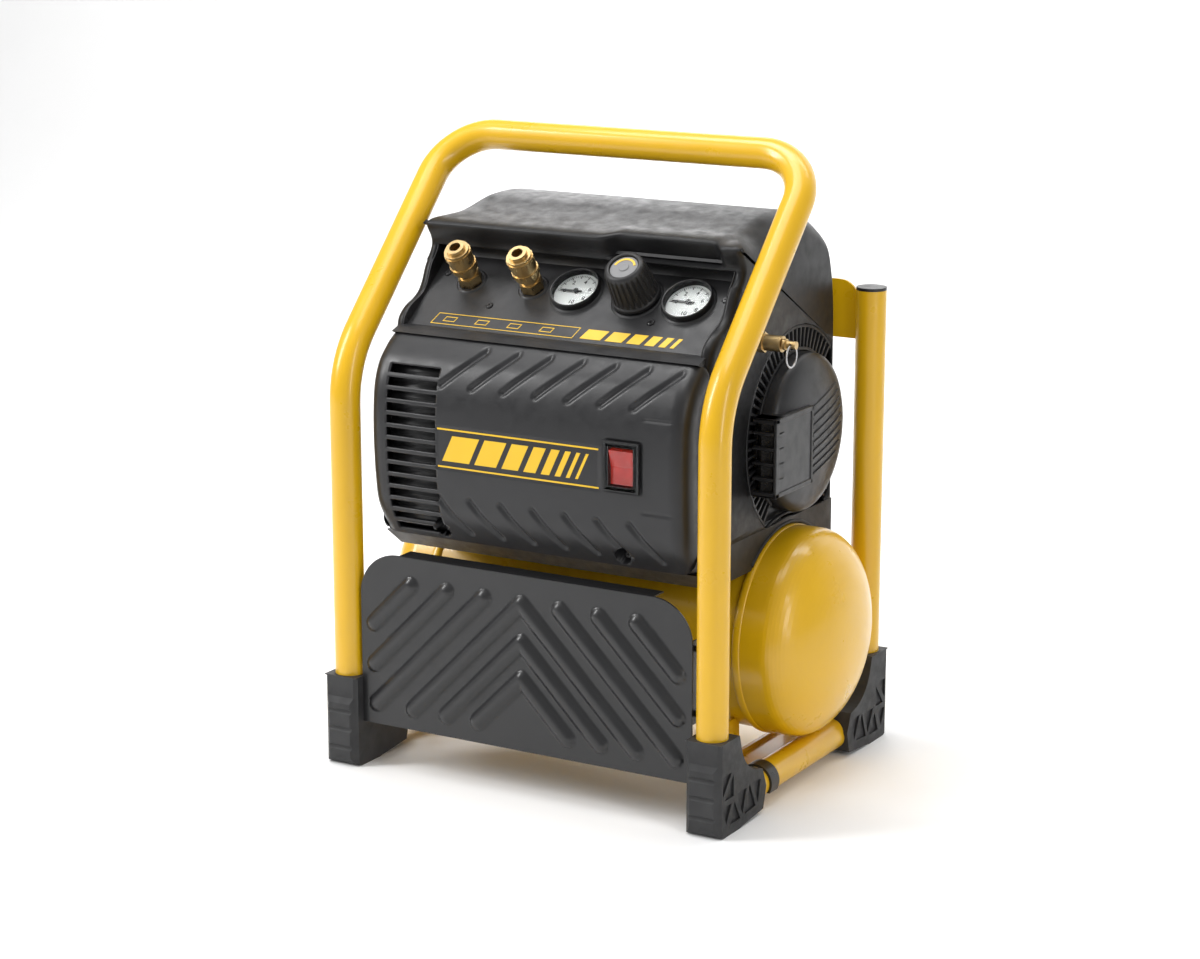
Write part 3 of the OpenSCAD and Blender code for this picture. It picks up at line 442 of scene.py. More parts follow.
def lathe(profile, steps=96):
    """Turns an outline of (radius, height) about Z. Points on the axis close the ends."""
    verts, faces, rings = [], [], []
    for r, h in profile:
        if r < 1e-6:
            rings.append([len(verts)])
            verts.append(Vector((0, 0, h)))
        else:
            rings.append(list(range(len(verts), len(verts) + steps)))
            verts += [Vector((r * math.cos(2 * math.pi * k / steps), r * math.sin(2 * math.pi * k / steps), h))
                      for k in range(steps)]
    for low, high in zip(rings, rings[1:]):
        for k in range(steps):
            n = (k + 1) % steps
            quad = [low[k % len(low)], low[n % len(low)], high[n % len(high)], high[k % len(high)]]
            face = tuple(dict.fromkeys(quad))
            if len(face) > 2:
                faces.append(face)
    return verts, faces


def moved(verts, matrix):
    return [matrix @ Vector(v) for v in verts]


def joined(*shapes):
    """Several (verts, faces) as one."""
    verts, faces = [], []
    for v, f in shapes:
        base = len(verts)
        verts += list(v)
        faces += [tuple(i + base for i in face) for face in f]
    return verts, faces


def prism(outline, low, high, to_xyz):
    """A closed slab of a 2D outline between two levels, each point placed by to_xyz(a, b, level)."""
    n = len(outline)
    verts = [to_xyz(a, b, h) for h in (low, high) for a, b in outline]
    faces = [tuple(range(n, 2 * n)), tuple(reversed(range(n)))]
    faces += [(i, (i + 1) % n, (i + 1) % n + n, i + n) for i in range(n)]
    return verts, faces


def fix_normals(mesh):
    bm = bmesh.new()
    bm.from_mesh(mesh)
    bmesh.ops.recalc_face_normals(bm, faces=bm.faces)
    bm.to_mesh(mesh)
    bm.free()


def soften(obj, width, segments=2, angle=35.0):
    """Rounds the edges sharper than the angle, in degrees."""
    mod = obj.modifiers.new("rounding", "BEVEL")
    mod.width = width * MM
    mod.segments = segments
    mod.limit_method = "ANGLE"
    mod.angle_limit = math.radians(angle)
    return mod


def thicken(obj, wall):
    """Gives an open surface a wall on its inner side."""
    solid = obj.modifiers.new("wall", "SOLIDIFY")
    solid.thickness = wall * MM
    solid.offset = -1.0
    return solid


def panel_matrix(x, up=PANEL_ROW, out=0.0):
    """Millimetre frame on the sloping panel: X across, Y up the slope, Z out of it."""
    base = Matrix.Translation((x, PANEL_Y, PANEL_Z)) @ Matrix.Rotation(PANEL_TILT, 4, "X")
    return base @ Matrix.Translation((0.0, up, out))


ALONG_X = Matrix(((0, 0, 1, 0), (1, 0, 0, 0), (0, 1, 0, 0), (0, 0, 0, 1)))


ROUNDED = {
    "foot_front_left": 1.2, "foot_front_right": 1.2, "foot_rear_left": 1.2, "foot_rear_right": 1.2,
    "lower_pan": 1.5, "control_panel": 0.6, "switch_housing": 0.8, "rear_cross_plate": 0.6, "fan_cover": 0.6,
    "side_grilles": 0.5, "coupler_bodies": 0.5, "coupler_sleeve_left": 0.5, "coupler_sleeve_right": 0.5,
    "safety_valve_body": 0.4, "tube_end_plugs": 0.6, "tank_brackets": 0.6, "cable_gland": 0.5,
    "switch_rocker": 0.5, "drain_valve_knob": 0.4,
}


def paint_cad_nodes():
    """Gives every CAD node the material of its slot, and rounds the edges of the machined and moulded ones."""
    slots = {s["node"]: s["material_slot"] for s in frame["record"]["subparts"]}
    for name, obj in frame["nodes"].items():
        obj.data.materials.clear()
        obj.data.materials.append(MATERIALS[slots[name]])
        shade(obj, 35.0)
    for name, width in ROUNDED.items():
        soften(frame["nodes"][name], width).harden_normals = True
    frame["nodes"]["guard_fixings"].data.materials[0] = MATERIALS["black_plastic"]


# ---- cage ----

def cage():
    """The cage as one bent tube, from the open top of one rear upright round to the other."""
    right = [(SIDE_X, REAR_Y, REAR_TOP_Z), (SIDE_X, REAR_Y, RUNNER_Z), (SIDE_X, FRONT_Y, RUNNER_Z),
             (SIDE_X, FRONT_Y, KNEE_Z), (SIDE_X, HANDLE_Y, HANDLE_Z)]
    left = [(-x, y, z) for x, y, z in reversed(right)]
    radii = [BOTTOM_BEND, BOTTOM_BEND, KNEE_BEND, HAND_BEND, HAND_BEND, KNEE_BEND, BOTTOM_BEND, BOTTOM_BEND]
    path = fillet(right + left, radii, 14)
    verts, faces = sweep(path, TUBE_R, 48)
    piece("cage", mesh_of("cage", verts, faces), "cage_paint", replaces=["cage_tube"])


# ---- front guard ----

def capsule(x, z, a, b, r):
    """Distance from (x, z) to the segment a-b, divided by r."""
    ax, az = a
    dx, dz = b[0] - ax, b[1] - az
    t = max(0.0, min(1.0, ((x - ax) * dx + (z - az) * dz) / (dx * dx + dz * dz)))
    return math.hypot(x - ax - t * dx, z - az - t * dz) / r


def rounded(d):
    """Height of a pressed rib at the distance d from its line: 1 on it, 0 from its edge on."""
    return max(0.0, 1.0 - d * d) ** 0.7


def guard():
    """Pressed steel guard with embossed chevrons, a folded top flange and folded sides."""
    ribs = []
    for start, top in [(0, 190), (42, 190), (84, 190), (125, 190), (0, 152), (0, 116)]:
        run = min(168 - start, top - 66)
        for side in (-1, 1):
            ribs.append(((side * start, top), (side * (start + run), top - run)))
    corner = 42.0
    flat = GUARD_HW - corner
    side = [-flat - corner * math.sin(math.radians(a)) for a in range(90, 0, -3)]
    columns = side + [-flat + 2 * flat * i / 176 for i in range(177)] + [-c for c in reversed(side)]
    rows = 110
    verts = []
    for j in range(rows + 1):
        for x in columns:
            over = max(0.0, abs(x) - flat)
            top = GUARD_Z1 - corner + math.sqrt(max(0.0, corner ** 2 - over ** 2))
            z = GUARD_Z0 + (top - GUARD_Z0) * j / rows
            lift = max(rounded(capsule(x, z, a, b, RIB_R)) for a, b in ribs)
            verts.append((x, GUARD_Y - 5.0 * lift, z))
    obj = piece("guard", mesh_of("guard", verts, grid_faces(rows + 1, len(columns))), "guard_paint",
                replaces=["front_guard"])
    thicken(obj, 2.0)
    soften(obj, 0.7, 3, 60.0)
    top = [(-165.0 + 0.3, 214.5), (-164.0, 216.6), (-162.0, 217.4), (-143.6, 217.4), (-143.0, 216.6),
           (-143.6, 215.8), (-162.0, 215.8), (-164.0, 214.0)]
    verts = [(x, y, z) for x in (-140, 140) for y, z in top]
    faces = tube_faces(2, len(top))
    for side in (-1, 1):
        fold = [(side * 180.9, -165.2), (side * 182.5, -164.6), (side * 182.6, -147.6), (side * 182.0, -147.1),
                (side * 181.2, -147.6), (side * 180.8, -163.5)]
        v = [(x, y, z) for z in (101, 181) for x, y in fold]
        verts, faces = joined((verts, faces), (v, tube_faces(2, len(fold))))
    piece("guard_flanges", mesh_of("guard_flanges", verts, faces), "guard_paint", replaces=["front_guard"])


# ---- front cover ----

COVER_PTS = [(-120, 234), (-141, 234), (-158, 262), (-163, 285), (-165.5, 315), (-166, 350), (-163, 382),
             (-154, 405), (-139, 421), (-126, 430), (-120, 431)]
SLOT_X = (-151.0, -95.0)
SLOT_Z0, SLOT_PITCH, SLOT_H, SLOTS = 240.0, 12.0, 8.0, 14
SCREW_AT = (99.0, 245.0)
SWITCH_AT = (108.5, 335.5)
GROOVE_PITCH, GROOVES = 34.8, 7
GROOVE_R, GROOVE_DEPTH = 3.6, 2.6
SEAM_Z = (294.0, 381.0)
BAND_SUNK, WELL_R, WELL_DEPTH = 1.0, 6.4, 13.0


def spline(points, per_span=16):
    """Points along a smooth curve through the given ones."""
    pts = [Vector((*p, 0.0)) for p in points]
    pts = [2 * pts[0] - pts[1]] + pts + [2 * pts[-1] - pts[-2]]
    out = []
    for a, b, c, d in zip(pts, pts[1:], pts[2:], pts[3:]):
        for i in range(per_span):
            t = i / per_span
            out.append(0.5 * ((2 * b) + (c - a) * t + (2 * a - 5 * b + 4 * c - d) * t * t
                              + (3 * b - a - 3 * c + d) * t ** 3))
    out.append(pts[-2])
    return [(p.x, p.y) for p in out]


def y_at(curve, z):
    """Y of a profile, rising in Z, at the height z."""
    for (y0, z0), (y1, z1) in zip(curve, curve[1:]):
        if z0 <= z <= z1 and z1 > z0:
            return y0 + (y1 - y0) * (z - z0) / (z1 - z0)
    return curve[-1][0]


FRONT_CURVE = spline(COVER_PTS[1:-1])


def smooth_step(t):
    t = max(0.0, min(1.0, t))
    return t * t * (3 - 2 * t)


def cover_depth(x, z):
    """How far the front is sunk at (x, z): grooves, label band, screw wells and the switch's seat."""
    sunk = 0.0
    for i in range(GROOVES):
        for a, b in (((-92, 389), (-54, 421)), ((-67, 246), (-95, 281))):
            shift = GROOVE_PITCH * i
            d = capsule(x, z, (a[0] + shift, a[1]), (b[0] + shift, b[1]), GROOVE_R)
            sunk = max(sunk, GROOVE_DEPTH * (1 - smooth_step((d - 0.2) / 0.9)))
    ex, ez = abs(x + 5) - 90, abs(z - 330.5) - 20.5
    band = 1 - smooth_step((max(ex, ez) + 1.2) / 1.8)
    sunk = max(sunk, BAND_SUNK * band)
    for seam_z in SEAM_Z:
        seam = 1 - smooth_step((abs(z - seam_z) - 0.6) / 1.2)
        sunk = max(sunk, 0.9 * smooth_step((x - 126) / 4) * seam)
    well = math.hypot(abs(x) - SCREW_AT[0], z - SCREW_AT[1])
    sunk = max(sunk, WELL_DEPTH * (1 - smooth_step((well - WELL_R) / 1.4)))
    ex, ez = abs(x - SWITCH_AT[0]) - 19.5, abs(z - SWITCH_AT[1]) - 24.5
    sunk = max(sunk, 1.2 * (1 - smooth_step((max(ex, ez) + 1.0) / 1.6)))
    return sunk


def front_cover():
    """The moulded front: louvres on the left, slanted grooves above and below the label band."""
    radius, flat = 16.0, BODY_HW - 16.0
    steps = 8
    step_z = SLOT_H / 6
    rows = [(y, COVER_PTS[0][1]) for y in (-120.0, -127.0, -134.0)]
    z = SLOT_Z0 - 4 * step_z
    while z < COVER_PTS[-2][1]:
        rows.append((y_at(FRONT_CURVE, z), z))
        z += step_z
    rows += [(-124.0, 430.5), COVER_PTS[-1]]
    angles = [math.pi / 2 * i / steps for i in range(1, steps + 1)]
    columns = [(-flat - radius * math.sin(a), radius * (1 - math.cos(a))) for a in reversed(angles)]
    columns += [(-flat + 2.0 * i, 0.0) for i in range(int(flat) + 1)]
    columns += [(flat + radius * math.sin(a), radius * (1 - math.cos(a))) for a in angles]
    width = len(columns) + 2
    verts = []
    for k, (y, z) in enumerate(rows):
        before, after = rows[max(k - 1, 0)], rows[min(k + 1, len(rows) - 1)]
        dy, dz = after[0] - before[0], after[1] - before[1]
        length = math.hypot(dy, dz)
        ny, nz = dz / length, -dy / length
        line = []
        for x, inset in columns:
            t = inset + (cover_depth(x, z) if inset == 0.0 else 0.0)
            line.append((x, min(COVER_BACK, y + ny * t), z + nz * t))
        verts += [(line[0][0], COVER_BACK, line[0][2])] + line + [(line[-1][0], COVER_BACK, line[-1][2])]
    faces = []
    for face in grid_faces(len(rows), width):
        cx = sum(verts[i][0] for i in face) / 4
        cz = sum(verts[i][2] for i in face) / 4
        slot = (cz - SLOT_Z0) % SLOT_PITCH < SLOT_H and SLOT_Z0 < cz < SLOT_Z0 + SLOT_PITCH * SLOTS
        in_slot = slot and SLOT_X[0] < cx < SLOT_X[1]
        in_switch = abs(cx - SWITCH_AT[0]) < 17.0 and abs(cz - SWITCH_AT[1]) < 21.5
        if not in_slot and not in_switch:
            faces.append(face)
    obj = piece("front_cover_shell", mesh_of("front_cover_shell", verts, faces), "shroud_plastic",
                replaces=["front_cover"], smooth=50.0)
    thicken(obj, 3.0)
    shade_behind_louvres()
    label_band()


def shade_behind_louvres():
    """Dark sheet behind the louvres, painted shade seen through the slots."""
    steps = 60
    curve = [(y_at(FRONT_CURVE, z) + 12.0, z) for z in (238 + 172 * i / steps for i in range(steps + 1))]
    verts = [(x, y + (2.0 if k % 3 == 0 else 0.0), z) for k, (y, z) in enumerate(curve) for x in (-154, -92)]
    # A dark sheet as painted shade behind the louvre slots.
    obj = piece("louvre_shade_sheet", mesh_of("louvre_shade_sheet", verts, grid_faces(steps + 1, 2)), "dark_plastic")
    thicken(obj, 1.5)


def on_front(name, outlines):
    """Yellow inlays on the sunk label band of the cover, each given by its corners (x, z)."""
    shapes = ([], [])
    for outline in outlines:
        shapes = joined(shapes, prism(outline, BAND_SUNK + 0.15, BAND_SUNK - 0.35,
                                      lambda x, z, h: (x, y_at(FRONT_CURVE, z) + h, z)))
    piece(name, mesh_of(name, *shapes), "cage_paint", material=PRINT_YELLOW, smooth=30.0)


def label_band():
    """Generic printed band: two thin lines with a run of slanted bars between them."""
    low, high = 311.5, 349.5
    lines = []
    for z0, z1 in ((low, low + 1.6), (high - 1.6, high)):
        lines.append([(-93, z0), (83, z0), (83, z1), (-93, z1)])
    bars = []
    bottom, top, lean = low + 6.5, high - 6.5, 12.0
    x = -88.0
    for width in (30, 24, 18, 13, 9, 6, 4, 3):
        bars.append([(x, bottom), (x + width, bottom), (x + width + lean, top), (x + lean, top)])
        x += width + 6.0
    on_front("band_lines", lines)
    on_front("band_bars", bars)


# ---- gauges ----

def gauge(side, x):
    """Case, dial with its marks and figures, and lens. The needle is the CAD's."""
    place = panel_matrix(x)
    case = [(0.0, -21.0), (20.0, -21.0), (23.0, -19.5), (24.4, -16.0), (24.6, 4.0), (24.9, 5.0), (24.9, 6.5),
            (24.7, 7.2), (24.1, 7.8), (23.5, 7.7), (23.1, 7.0), (23.0, 5.0), (23.0, 0.2), (0.0, 0.2)]
    verts, faces = lathe(case, 96)
    piece(f"gauge_case_{side}", mesh_of(f"gauge_case_{side}", moved(verts, place), faces), "black_plastic",
          replaces=["gauge_cases"], smooth=30.0)
    verts, faces = lathe([(0.0, 0.75), (22.3, 0.75), (22.9, 0.5), (22.9, 0.25)], 96)
    piece(f"gauge_dial_{side}", mesh_of(f"gauge_dial_{side}", moved(verts, place), faces), "dial_white",
          replaces=["gauge_dials"], smooth=30.0)
    marks, reds = [], []
    for i in range(51):
        a = math.radians(180.0 - 270.0 * i / 50)
        major = i % 5 == 0
        r0, w = (17.0 if major else 18.6), (0.5 if major else 0.24)
        marks.append((a, r0, 20.6, w))
        if i > 40:
            reds.append((a, 20.9, 22.0, 0.72))
    for name, items, colour in (("ticks", marks, MATERIALS["needle_black"]), ("red_zone", reds, PRINT_RED)):
        verts, faces = [], []
        for a, r0, r1, w in items:
            bar = prism([(r0, -w), (r1, -w), (r1, w), (r0, w)], 0.7, 0.87,
                        lambda r, t, h: Matrix.Rotation(a, 3, "Z") @ Vector((r, t, h)))
            verts, faces = joined((verts, faces), bar)
        piece(f"gauge_{name}_{side}", mesh_of(f"gauge_{name}_{side}", moved(verts, place), faces),
              "dial_white", material=colour)
    numerals(f"gauge_numbers_{side}", place)
    lens = [(0.0, 6.3), (12.0, 6.1), (19.0, 5.8), (22.9, 5.4), (22.9, 4.4), (19.0, 4.8), (12.0, 5.1),
            (0.0, 5.3)]
    verts, faces = lathe(lens, 96)
    piece(f"gauge_lens_{side}", mesh_of(f"gauge_lens_{side}", moved(verts, place), faces), "clear_lens",
          replaces=["gauge_lenses"], smooth=30.0)


def numerals(name, place):
    """Pressure figures round the dial."""
    shapes = ([], [])
    for i in range(6):
        curve = bpy.data.curves.new("figure", "FONT")
        curve.body = str(2 * i)
        curve.size = 6.4
        curve.extrude = 0.06
        curve.offset = 0.12
        curve.align_x, curve.align_y = "CENTER", "CENTER"
        curve.resolution_u = 3
        holder = bpy.data.objects.new("figure", curve)
        mesh = bpy.data.meshes.new_from_object(holder)
        a = math.radians(180.0 - 54.0 * i)
        spot = Matrix.Translation((13.2 * math.cos(a), 13.2 * math.sin(a), 0.82))
        points = [place @ spot @ v.co for v in mesh.vertices]
        shapes = joined(shapes, (points, [tuple(p.vertices) for p in mesh.polygons]))
        bpy.data.objects.remove(holder)
        bpy.data.curves.remove(curve)
        bpy.data.meshes.remove(mesh)
    piece(name, mesh_of(name, *shapes), "dial_white", material=MATERIALS["needle_black"], smooth=20.0)


# ---- regulator knob ----

def knob():
    """Fluted knob on a flange, with a flat cap let into its top."""
    place = panel_matrix(KNOB_X)
    steps, flutes = 288, 24
    outline = [(15.5, 3.0), (23.2, 2.8), (23.9, 3.5), (23.9, 6.3), (23.3, 7.3), (22.6, 7.7), (22.5, 8.5),
               (22.3, 11.0), (21.6, 20.0), (20.9, 30.0), (20.4, 36.0), (19.9, 39.5), (18.8, 42.0), (17.2, 43.3),
               (15.5, 43.8), (14.6, 43.6), (14.2, 42.9), (14.1, 41.8)]
    verts = []
    for r, h in outline:
        amount = smooth_step((h - 8.0) / 3.0) * (1 - smooth_step((h - 36.0) / 5.0))
        for k in range(steps):
            a = 2 * math.pi * k / steps
            groove = max(0.0, math.cos(a * flutes)) ** 0.7
            rr = r - 1.7 * amount * groove
            verts.append(Vector((rr * math.cos(a), rr * math.sin(a), h)))
    faces = grid_faces(len(outline), steps, closed_columns=True)
    piece("knob_grip", mesh_of("knob_grip", moved(verts, place), faces), "dark_plastic", body="regulator_knob",
          replaces=["regulator_knob"], smooth=50.0)
    cap = [(0.0, 42.4), (4.4, 42.4), (4.9, 42.1), (5.0, 41.6), (13.4, 41.6), (13.9, 41.3), (14.1, 40.6)]
    verts, faces = lathe(cap, 96)
    piece("knob_cap", mesh_of("knob_cap", moved(verts, place), faces), "panel_plastic", body="regulator_knob",
          material=CAP_GREY, smooth=30.0)
    arrow = [(r * math.cos(math.radians(a)), r * math.sin(math.radians(a))) for r, sweep_ in
             ((9.2, range(20, 171, 6)), (11.4, range(170, 19, -6))) for a in sweep_]
    verts, faces = prism(arrow, 41.4, 41.95, lambda x, y, h: place @ Vector((x, y, h)))
    piece("knob_arc", mesh_of("knob_arc", verts, faces), "cage_paint", body="regulator_knob",
          material=PRINT_YELLOW)


# ---- rear hood ----

HOOD_PTS = [(-120, 250), (-120, 330), (-120, 434), (-107, 450), (-84, 458), (-74, 468), (-67, 486),
            (-56, 497), (-53, 506), (-63, 521), (-64, 526), (-56, 529), (-40, 531), (0, 538), (30, 545),
            (75, 545), (104, 535), (125, 509), (136, 465), (139, 420), (139, 330), (139, 250)]
LIP_ROW_Z = 503.0
BACK_Y = 139
BACK_SLOT_Z0, BACK_SLOT_H, BACK_SLOTS, BACK_SLOT_HW = 268.0, 7.0, 8, 110.0
BACK_ROWS_TOP = 360.0
CHEEK = 0.985


def chaikin(points, rounds):
    """Rounds a polyline by cutting its corners again and again. Its ends stay."""
    for _ in range(rounds):
        out = [points[0]]
        for (x0, y0), (x1, y1) in zip(points, points[1:]):
            out.append((0.75 * x0 + 0.25 * x1, 0.75 * y0 + 0.25 * y1))
            out.append((0.25 * x0 + 0.75 * x1, 0.25 * y0 + 0.75 * y1))
        points = out + [points[-1]]
    return points


def profile_normals(rows):
    """Inward unit normals of an outline that runs up the front, over the top and down the back."""
    normals = []
    for k in range(len(rows)):
        before, after = rows[max(k - 1, 0)], rows[min(k + 1, len(rows) - 1)]
        dy, dz = after[0] - before[0], after[1] - before[1]
        length = math.hypot(dy, dz)
        normals.append((dz / length, -dy / length))
    return normals


def hood():
    """The hood: cheeks beside the panel, a lip over it, a crowned top and the open-sided back."""
    rows = [p for p in chaikin(HOOD_PTS, 3) if p[0] < BACK_Y - 0.01 or p[1] > BACK_ROWS_TOP]
    for i in reversed(range(BACK_SLOTS)):
        low = BACK_SLOT_Z0 + SLOT_PITCH * i
        rows += [(BACK_Y, low + BACK_SLOT_H), (BACK_Y, low)]
    rows.append(HOOD_PTS[-1])
    normals = profile_normals(rows)
    half = [-1.0, -CHEEK] + [-CHEEK + 2 * CHEEK * i / 80 for i in range(1, 80)] + [CHEEK, 1.0]
    angles = [math.pi / 2 * i / 8 for i in range(1, 9)]
    verts, lip, faces = [], None, []
    for k, ((y, z), (ny, nz)) in enumerate(zip(rows, normals)):
        if lip is None and z > LIP_ROW_Z:
            lip = k
        crown = smooth_step((z - 500) / 40)
        radius = 8.0 + 20.0 * crown - 4.0 * smooth_step((y - 120) / 15) * (1 - crown)
        if z > 490:
            radius = 6.0 + (radius - 6.0) * smooth_step((y + 62) / 45)
        flat = BODY_HW - radius
        line = [(-flat - radius * math.sin(a), radius * (1 - math.cos(a))) for a in reversed(angles)]
        line += [(u * flat, 0.0) for u in half]
        line += [(flat + radius * math.sin(a), radius * (1 - math.cos(a))) for a in angles]
        near = smooth_step((y + 74) / 8) * (1 - smooth_step((y + 52) / 34)) if z > 505 else 0.0
        for x, t in line:
            scallop = smooth_step((x - 22) / 22) * (1 - smooth_step((x - 142) / 12)) * near
            verts.append((x, y + ny * t + 10.0 * scallop, z + nz * t + 3.0 * scallop))
    width = len(half) + 2 * len(angles)
    first, last = len(angles) + 1, width - len(angles) - 2
    for face in grid_faces(len(rows), width):
        row, column = divmod(face[0], width)
        corners = [verts[i] for i in face]
        height = sum(v[2] for v in corners) / 4 - BACK_SLOT_Z0
        in_slot = (0 < height < SLOT_PITCH * BACK_SLOTS and height % SLOT_PITCH < BACK_SLOT_H
                   and min(v[1] for v in corners) > BACK_Y - 0.1
                   and max(abs(v[0]) for v in corners) < BACK_SLOT_HW)
        if (row >= lip or column < first or column >= last) and not in_slot:
            faces.append(face)
    arc_yz = arc(MOTOR_Y, MOTOR_Z, 104.0, -52.9, -43.5, 3)
    arc_yz += arc(MOTOR_Y, MOTOR_Z, 104.0, 43.5, 232.9, 60)
    for side, column in ((-1, 0), (1, width - 1)):
        loop = [k * width + column for k in range(len(rows))]
        base = len(verts)
        verts += [(side * BODY_HW, y, z) for y, z in arc_yz]
        loop += list(range(base, base + len(arc_yz)))
        faces.append(tuple(loop if side < 0 else reversed(loop)))
    obj = piece("hood_shell", mesh_of("hood_shell", verts, faces), "shroud_plastic", replaces=["rear_hood"],
                material=MATERIALS["hood_plastic"])
    thicken(obj, 3.0)
    verts, faces = [], []
    for side in (-1, 1):
        base = len(verts)
        x = side * CHEEK * (BODY_HW - 8.0)
        for (y, z), (ny, nz) in zip(rows[:lip + 1], normals):
            for t in (0.0, 0.5, 20.0):
                verts.append((x + side * (0.0 if t == 0.0 else 0.4), y + ny * t, z + nz * t))
        faces += [tuple(i + base for i in f) for f in grid_faces(lip + 1, 3)]
    cheeks = piece("hood_cheeks", mesh_of("hood_cheeks", verts, faces), "shroud_plastic")
    thicken(cheeks, 1.2).offset = 0.0


# ---- control panel dressing ----

def on_panel(name, outlines):
    """Yellow inlays on the sloping panel, each given by its corners (x, distance up the slope)."""
    place = panel_matrix(0.0, 0.0)
    shapes = ([], [])
    for outline in outlines:
        shapes = joined(shapes, prism(outline, -0.4, 0.3, lambda x, u, h: place @ Vector((x, u, h))))
    piece(name, mesh_of(name, *shapes), "cage_paint", material=PRINT_YELLOW, smooth=30.0)


def frame_outline(x0, x1, u0, u1, lean):
    """Four thin bars round a slanted rectangle."""
    w = 0.7

    def at(x, u):
        return (x + lean * (u - u0) / (u1 - u0), u)
    return [[at(x0, u0), at(x1, u0), at(x1 - w, u0 + w), at(x0 + w, u0 + w)],
            [at(x0 + w, u1 - w), at(x1 - w, u1 - w), at(x1, u1), at(x0, u1)],
            [at(x0, u0), at(x0 + w, u0 + w), at(x0 + w, u1 - w), at(x0, u1)],
            [at(x1 - w, u0 + w), at(x1, u0), at(x1, u1), at(x1 - w, u1 - w)]]


def panel_dressing():
    """Printed strip along the foot of the panel, raised collars, screws, and the lip that meets the cover."""
    low, high = 5.0, 19.0
    outlines = frame_outline(-138, 20, low, high, 4.0)
    for x in (-126, -90, -54, -18):
        outlines += frame_outline(x, x + 13, low + 4, high - 4, 2.0)
    on_panel("strip_lines", outlines)
    bars, x = [], 28.0
    for width in (22, 18, 14, 10, 7, 4):
        bars.append([(x, low + 1), (x + width, low + 1), (x + width + 5, high - 1), (x + 5, high - 1)])
        x += width + 5.0
    on_panel("strip_bars", bars)
    verts, faces = [], []
    collars = [(x, 15.0) for x in COUPLER_X] + [(x, 26.6) for x in GAUGE_X] + [(KNOB_X, 25.6)]
    for x, r in collars:
        ring = [(r - 3.0, -1.0), (r - 3.0, 0.6), (r - 2.4, 1.2), (r - 1.0, 1.3), (r, 0.7), (r + 1.0, -0.2)]
        v, f = lathe(ring, 72)
        verts, faces = joined((verts, faces), (moved(v, panel_matrix(x)), f))
    piece("panel_collars", mesh_of("panel_collars", verts, faces), "panel_plastic", smooth=35.0)
    verts, faces = [], []
    for x, u in ((-150, 70), (155, 70), (-85, 34), (92, 34)):
        v, f = screw_head(3.4)
        verts, faces = joined((verts, faces), (moved(v, panel_matrix(x, u, -0.6)), f))
    piece("panel_screws", mesh_of("panel_screws", verts, faces), "steel", material=MATERIALS["guard_paint"],
          smooth=30.0)
    section = [(-131.0, 429.2), (-124.5, 431.3), (-118.0, 433.6), (-112.0, 434.2), (-108.0, 433.6),
               (-107.0, 430.5), (-113.0, 426.5), (-122.0, 425.5)]
    verts, faces = prism(section, -167, 167, lambda y, z, h: (h, y, z))
    piece("panel_foot", mesh_of("panel_foot", verts, faces), "panel_plastic")


def screw_head(r):
    """Pan head with a cross recess, pointing up Z."""
    h, steps = 2.0, 48
    # each ring: radius, how far the cross's arms reach beyond it, height
    rings = [(r, 0.0, 0.0), (r, 0.0, h * 0.45), (r * 0.9, 0.0, h * 0.8), (r * 0.7, 0.0, h), (r * 0.52, 0.0, h),
             (r * 0.16, r * 0.34, h), (r * 0.12, r * 0.32, h * 0.35)]
    verts = []
    for inner, reach, z in rings:
        for k in range(steps):
            a = 2 * math.pi * k / steps
            rr = inner + reach * abs(math.cos(2 * a)) ** 6
            verts.append(Vector((rr * math.cos(a), rr * math.sin(a), z)))
    faces = grid_faces(len(rings), steps, closed_columns=True)
    faces.append(tuple(range((len(rings) - 1) * steps, len(rings) * steps)))
    return verts, faces


def cover_screws():
    """Screws at the foot of the two wells in the front cover."""
    verts, faces = [], []
    z = SCREW_AT[1]
    for side in (-1, 1):
        v, f = screw_head(3.8)
        place = Matrix.Translation((side * SCREW_AT[0], y_at(FRONT_CURVE, z) + WELL_DEPTH - 0.4, z))
        place = place @ Matrix.Rotation(math.pi / 2, 4, "X")
        verts, faces = joined((verts, faces), (moved(v, place), f))
    # The heads are black as painted shade at the foot of the wells.
    piece("cover_screws", mesh_of("cover_screws", verts, faces), "steel", material=MATERIALS["needle_black"])


# ---- side grilles and end cover ----

def axis_yz(y, z):
    """Matrix for a lathe about an X axis through (y, z)."""
    return Matrix.Translation((0.0, y, z)) @ ALONG_X


def side_slab(outline, low, high, side=1):
    """A slab of a (y, z) outline between two distances from the middle, on the right or the left."""
    return prism(outline, low, high, lambda y, z, h: Vector((side * h, y, z)))


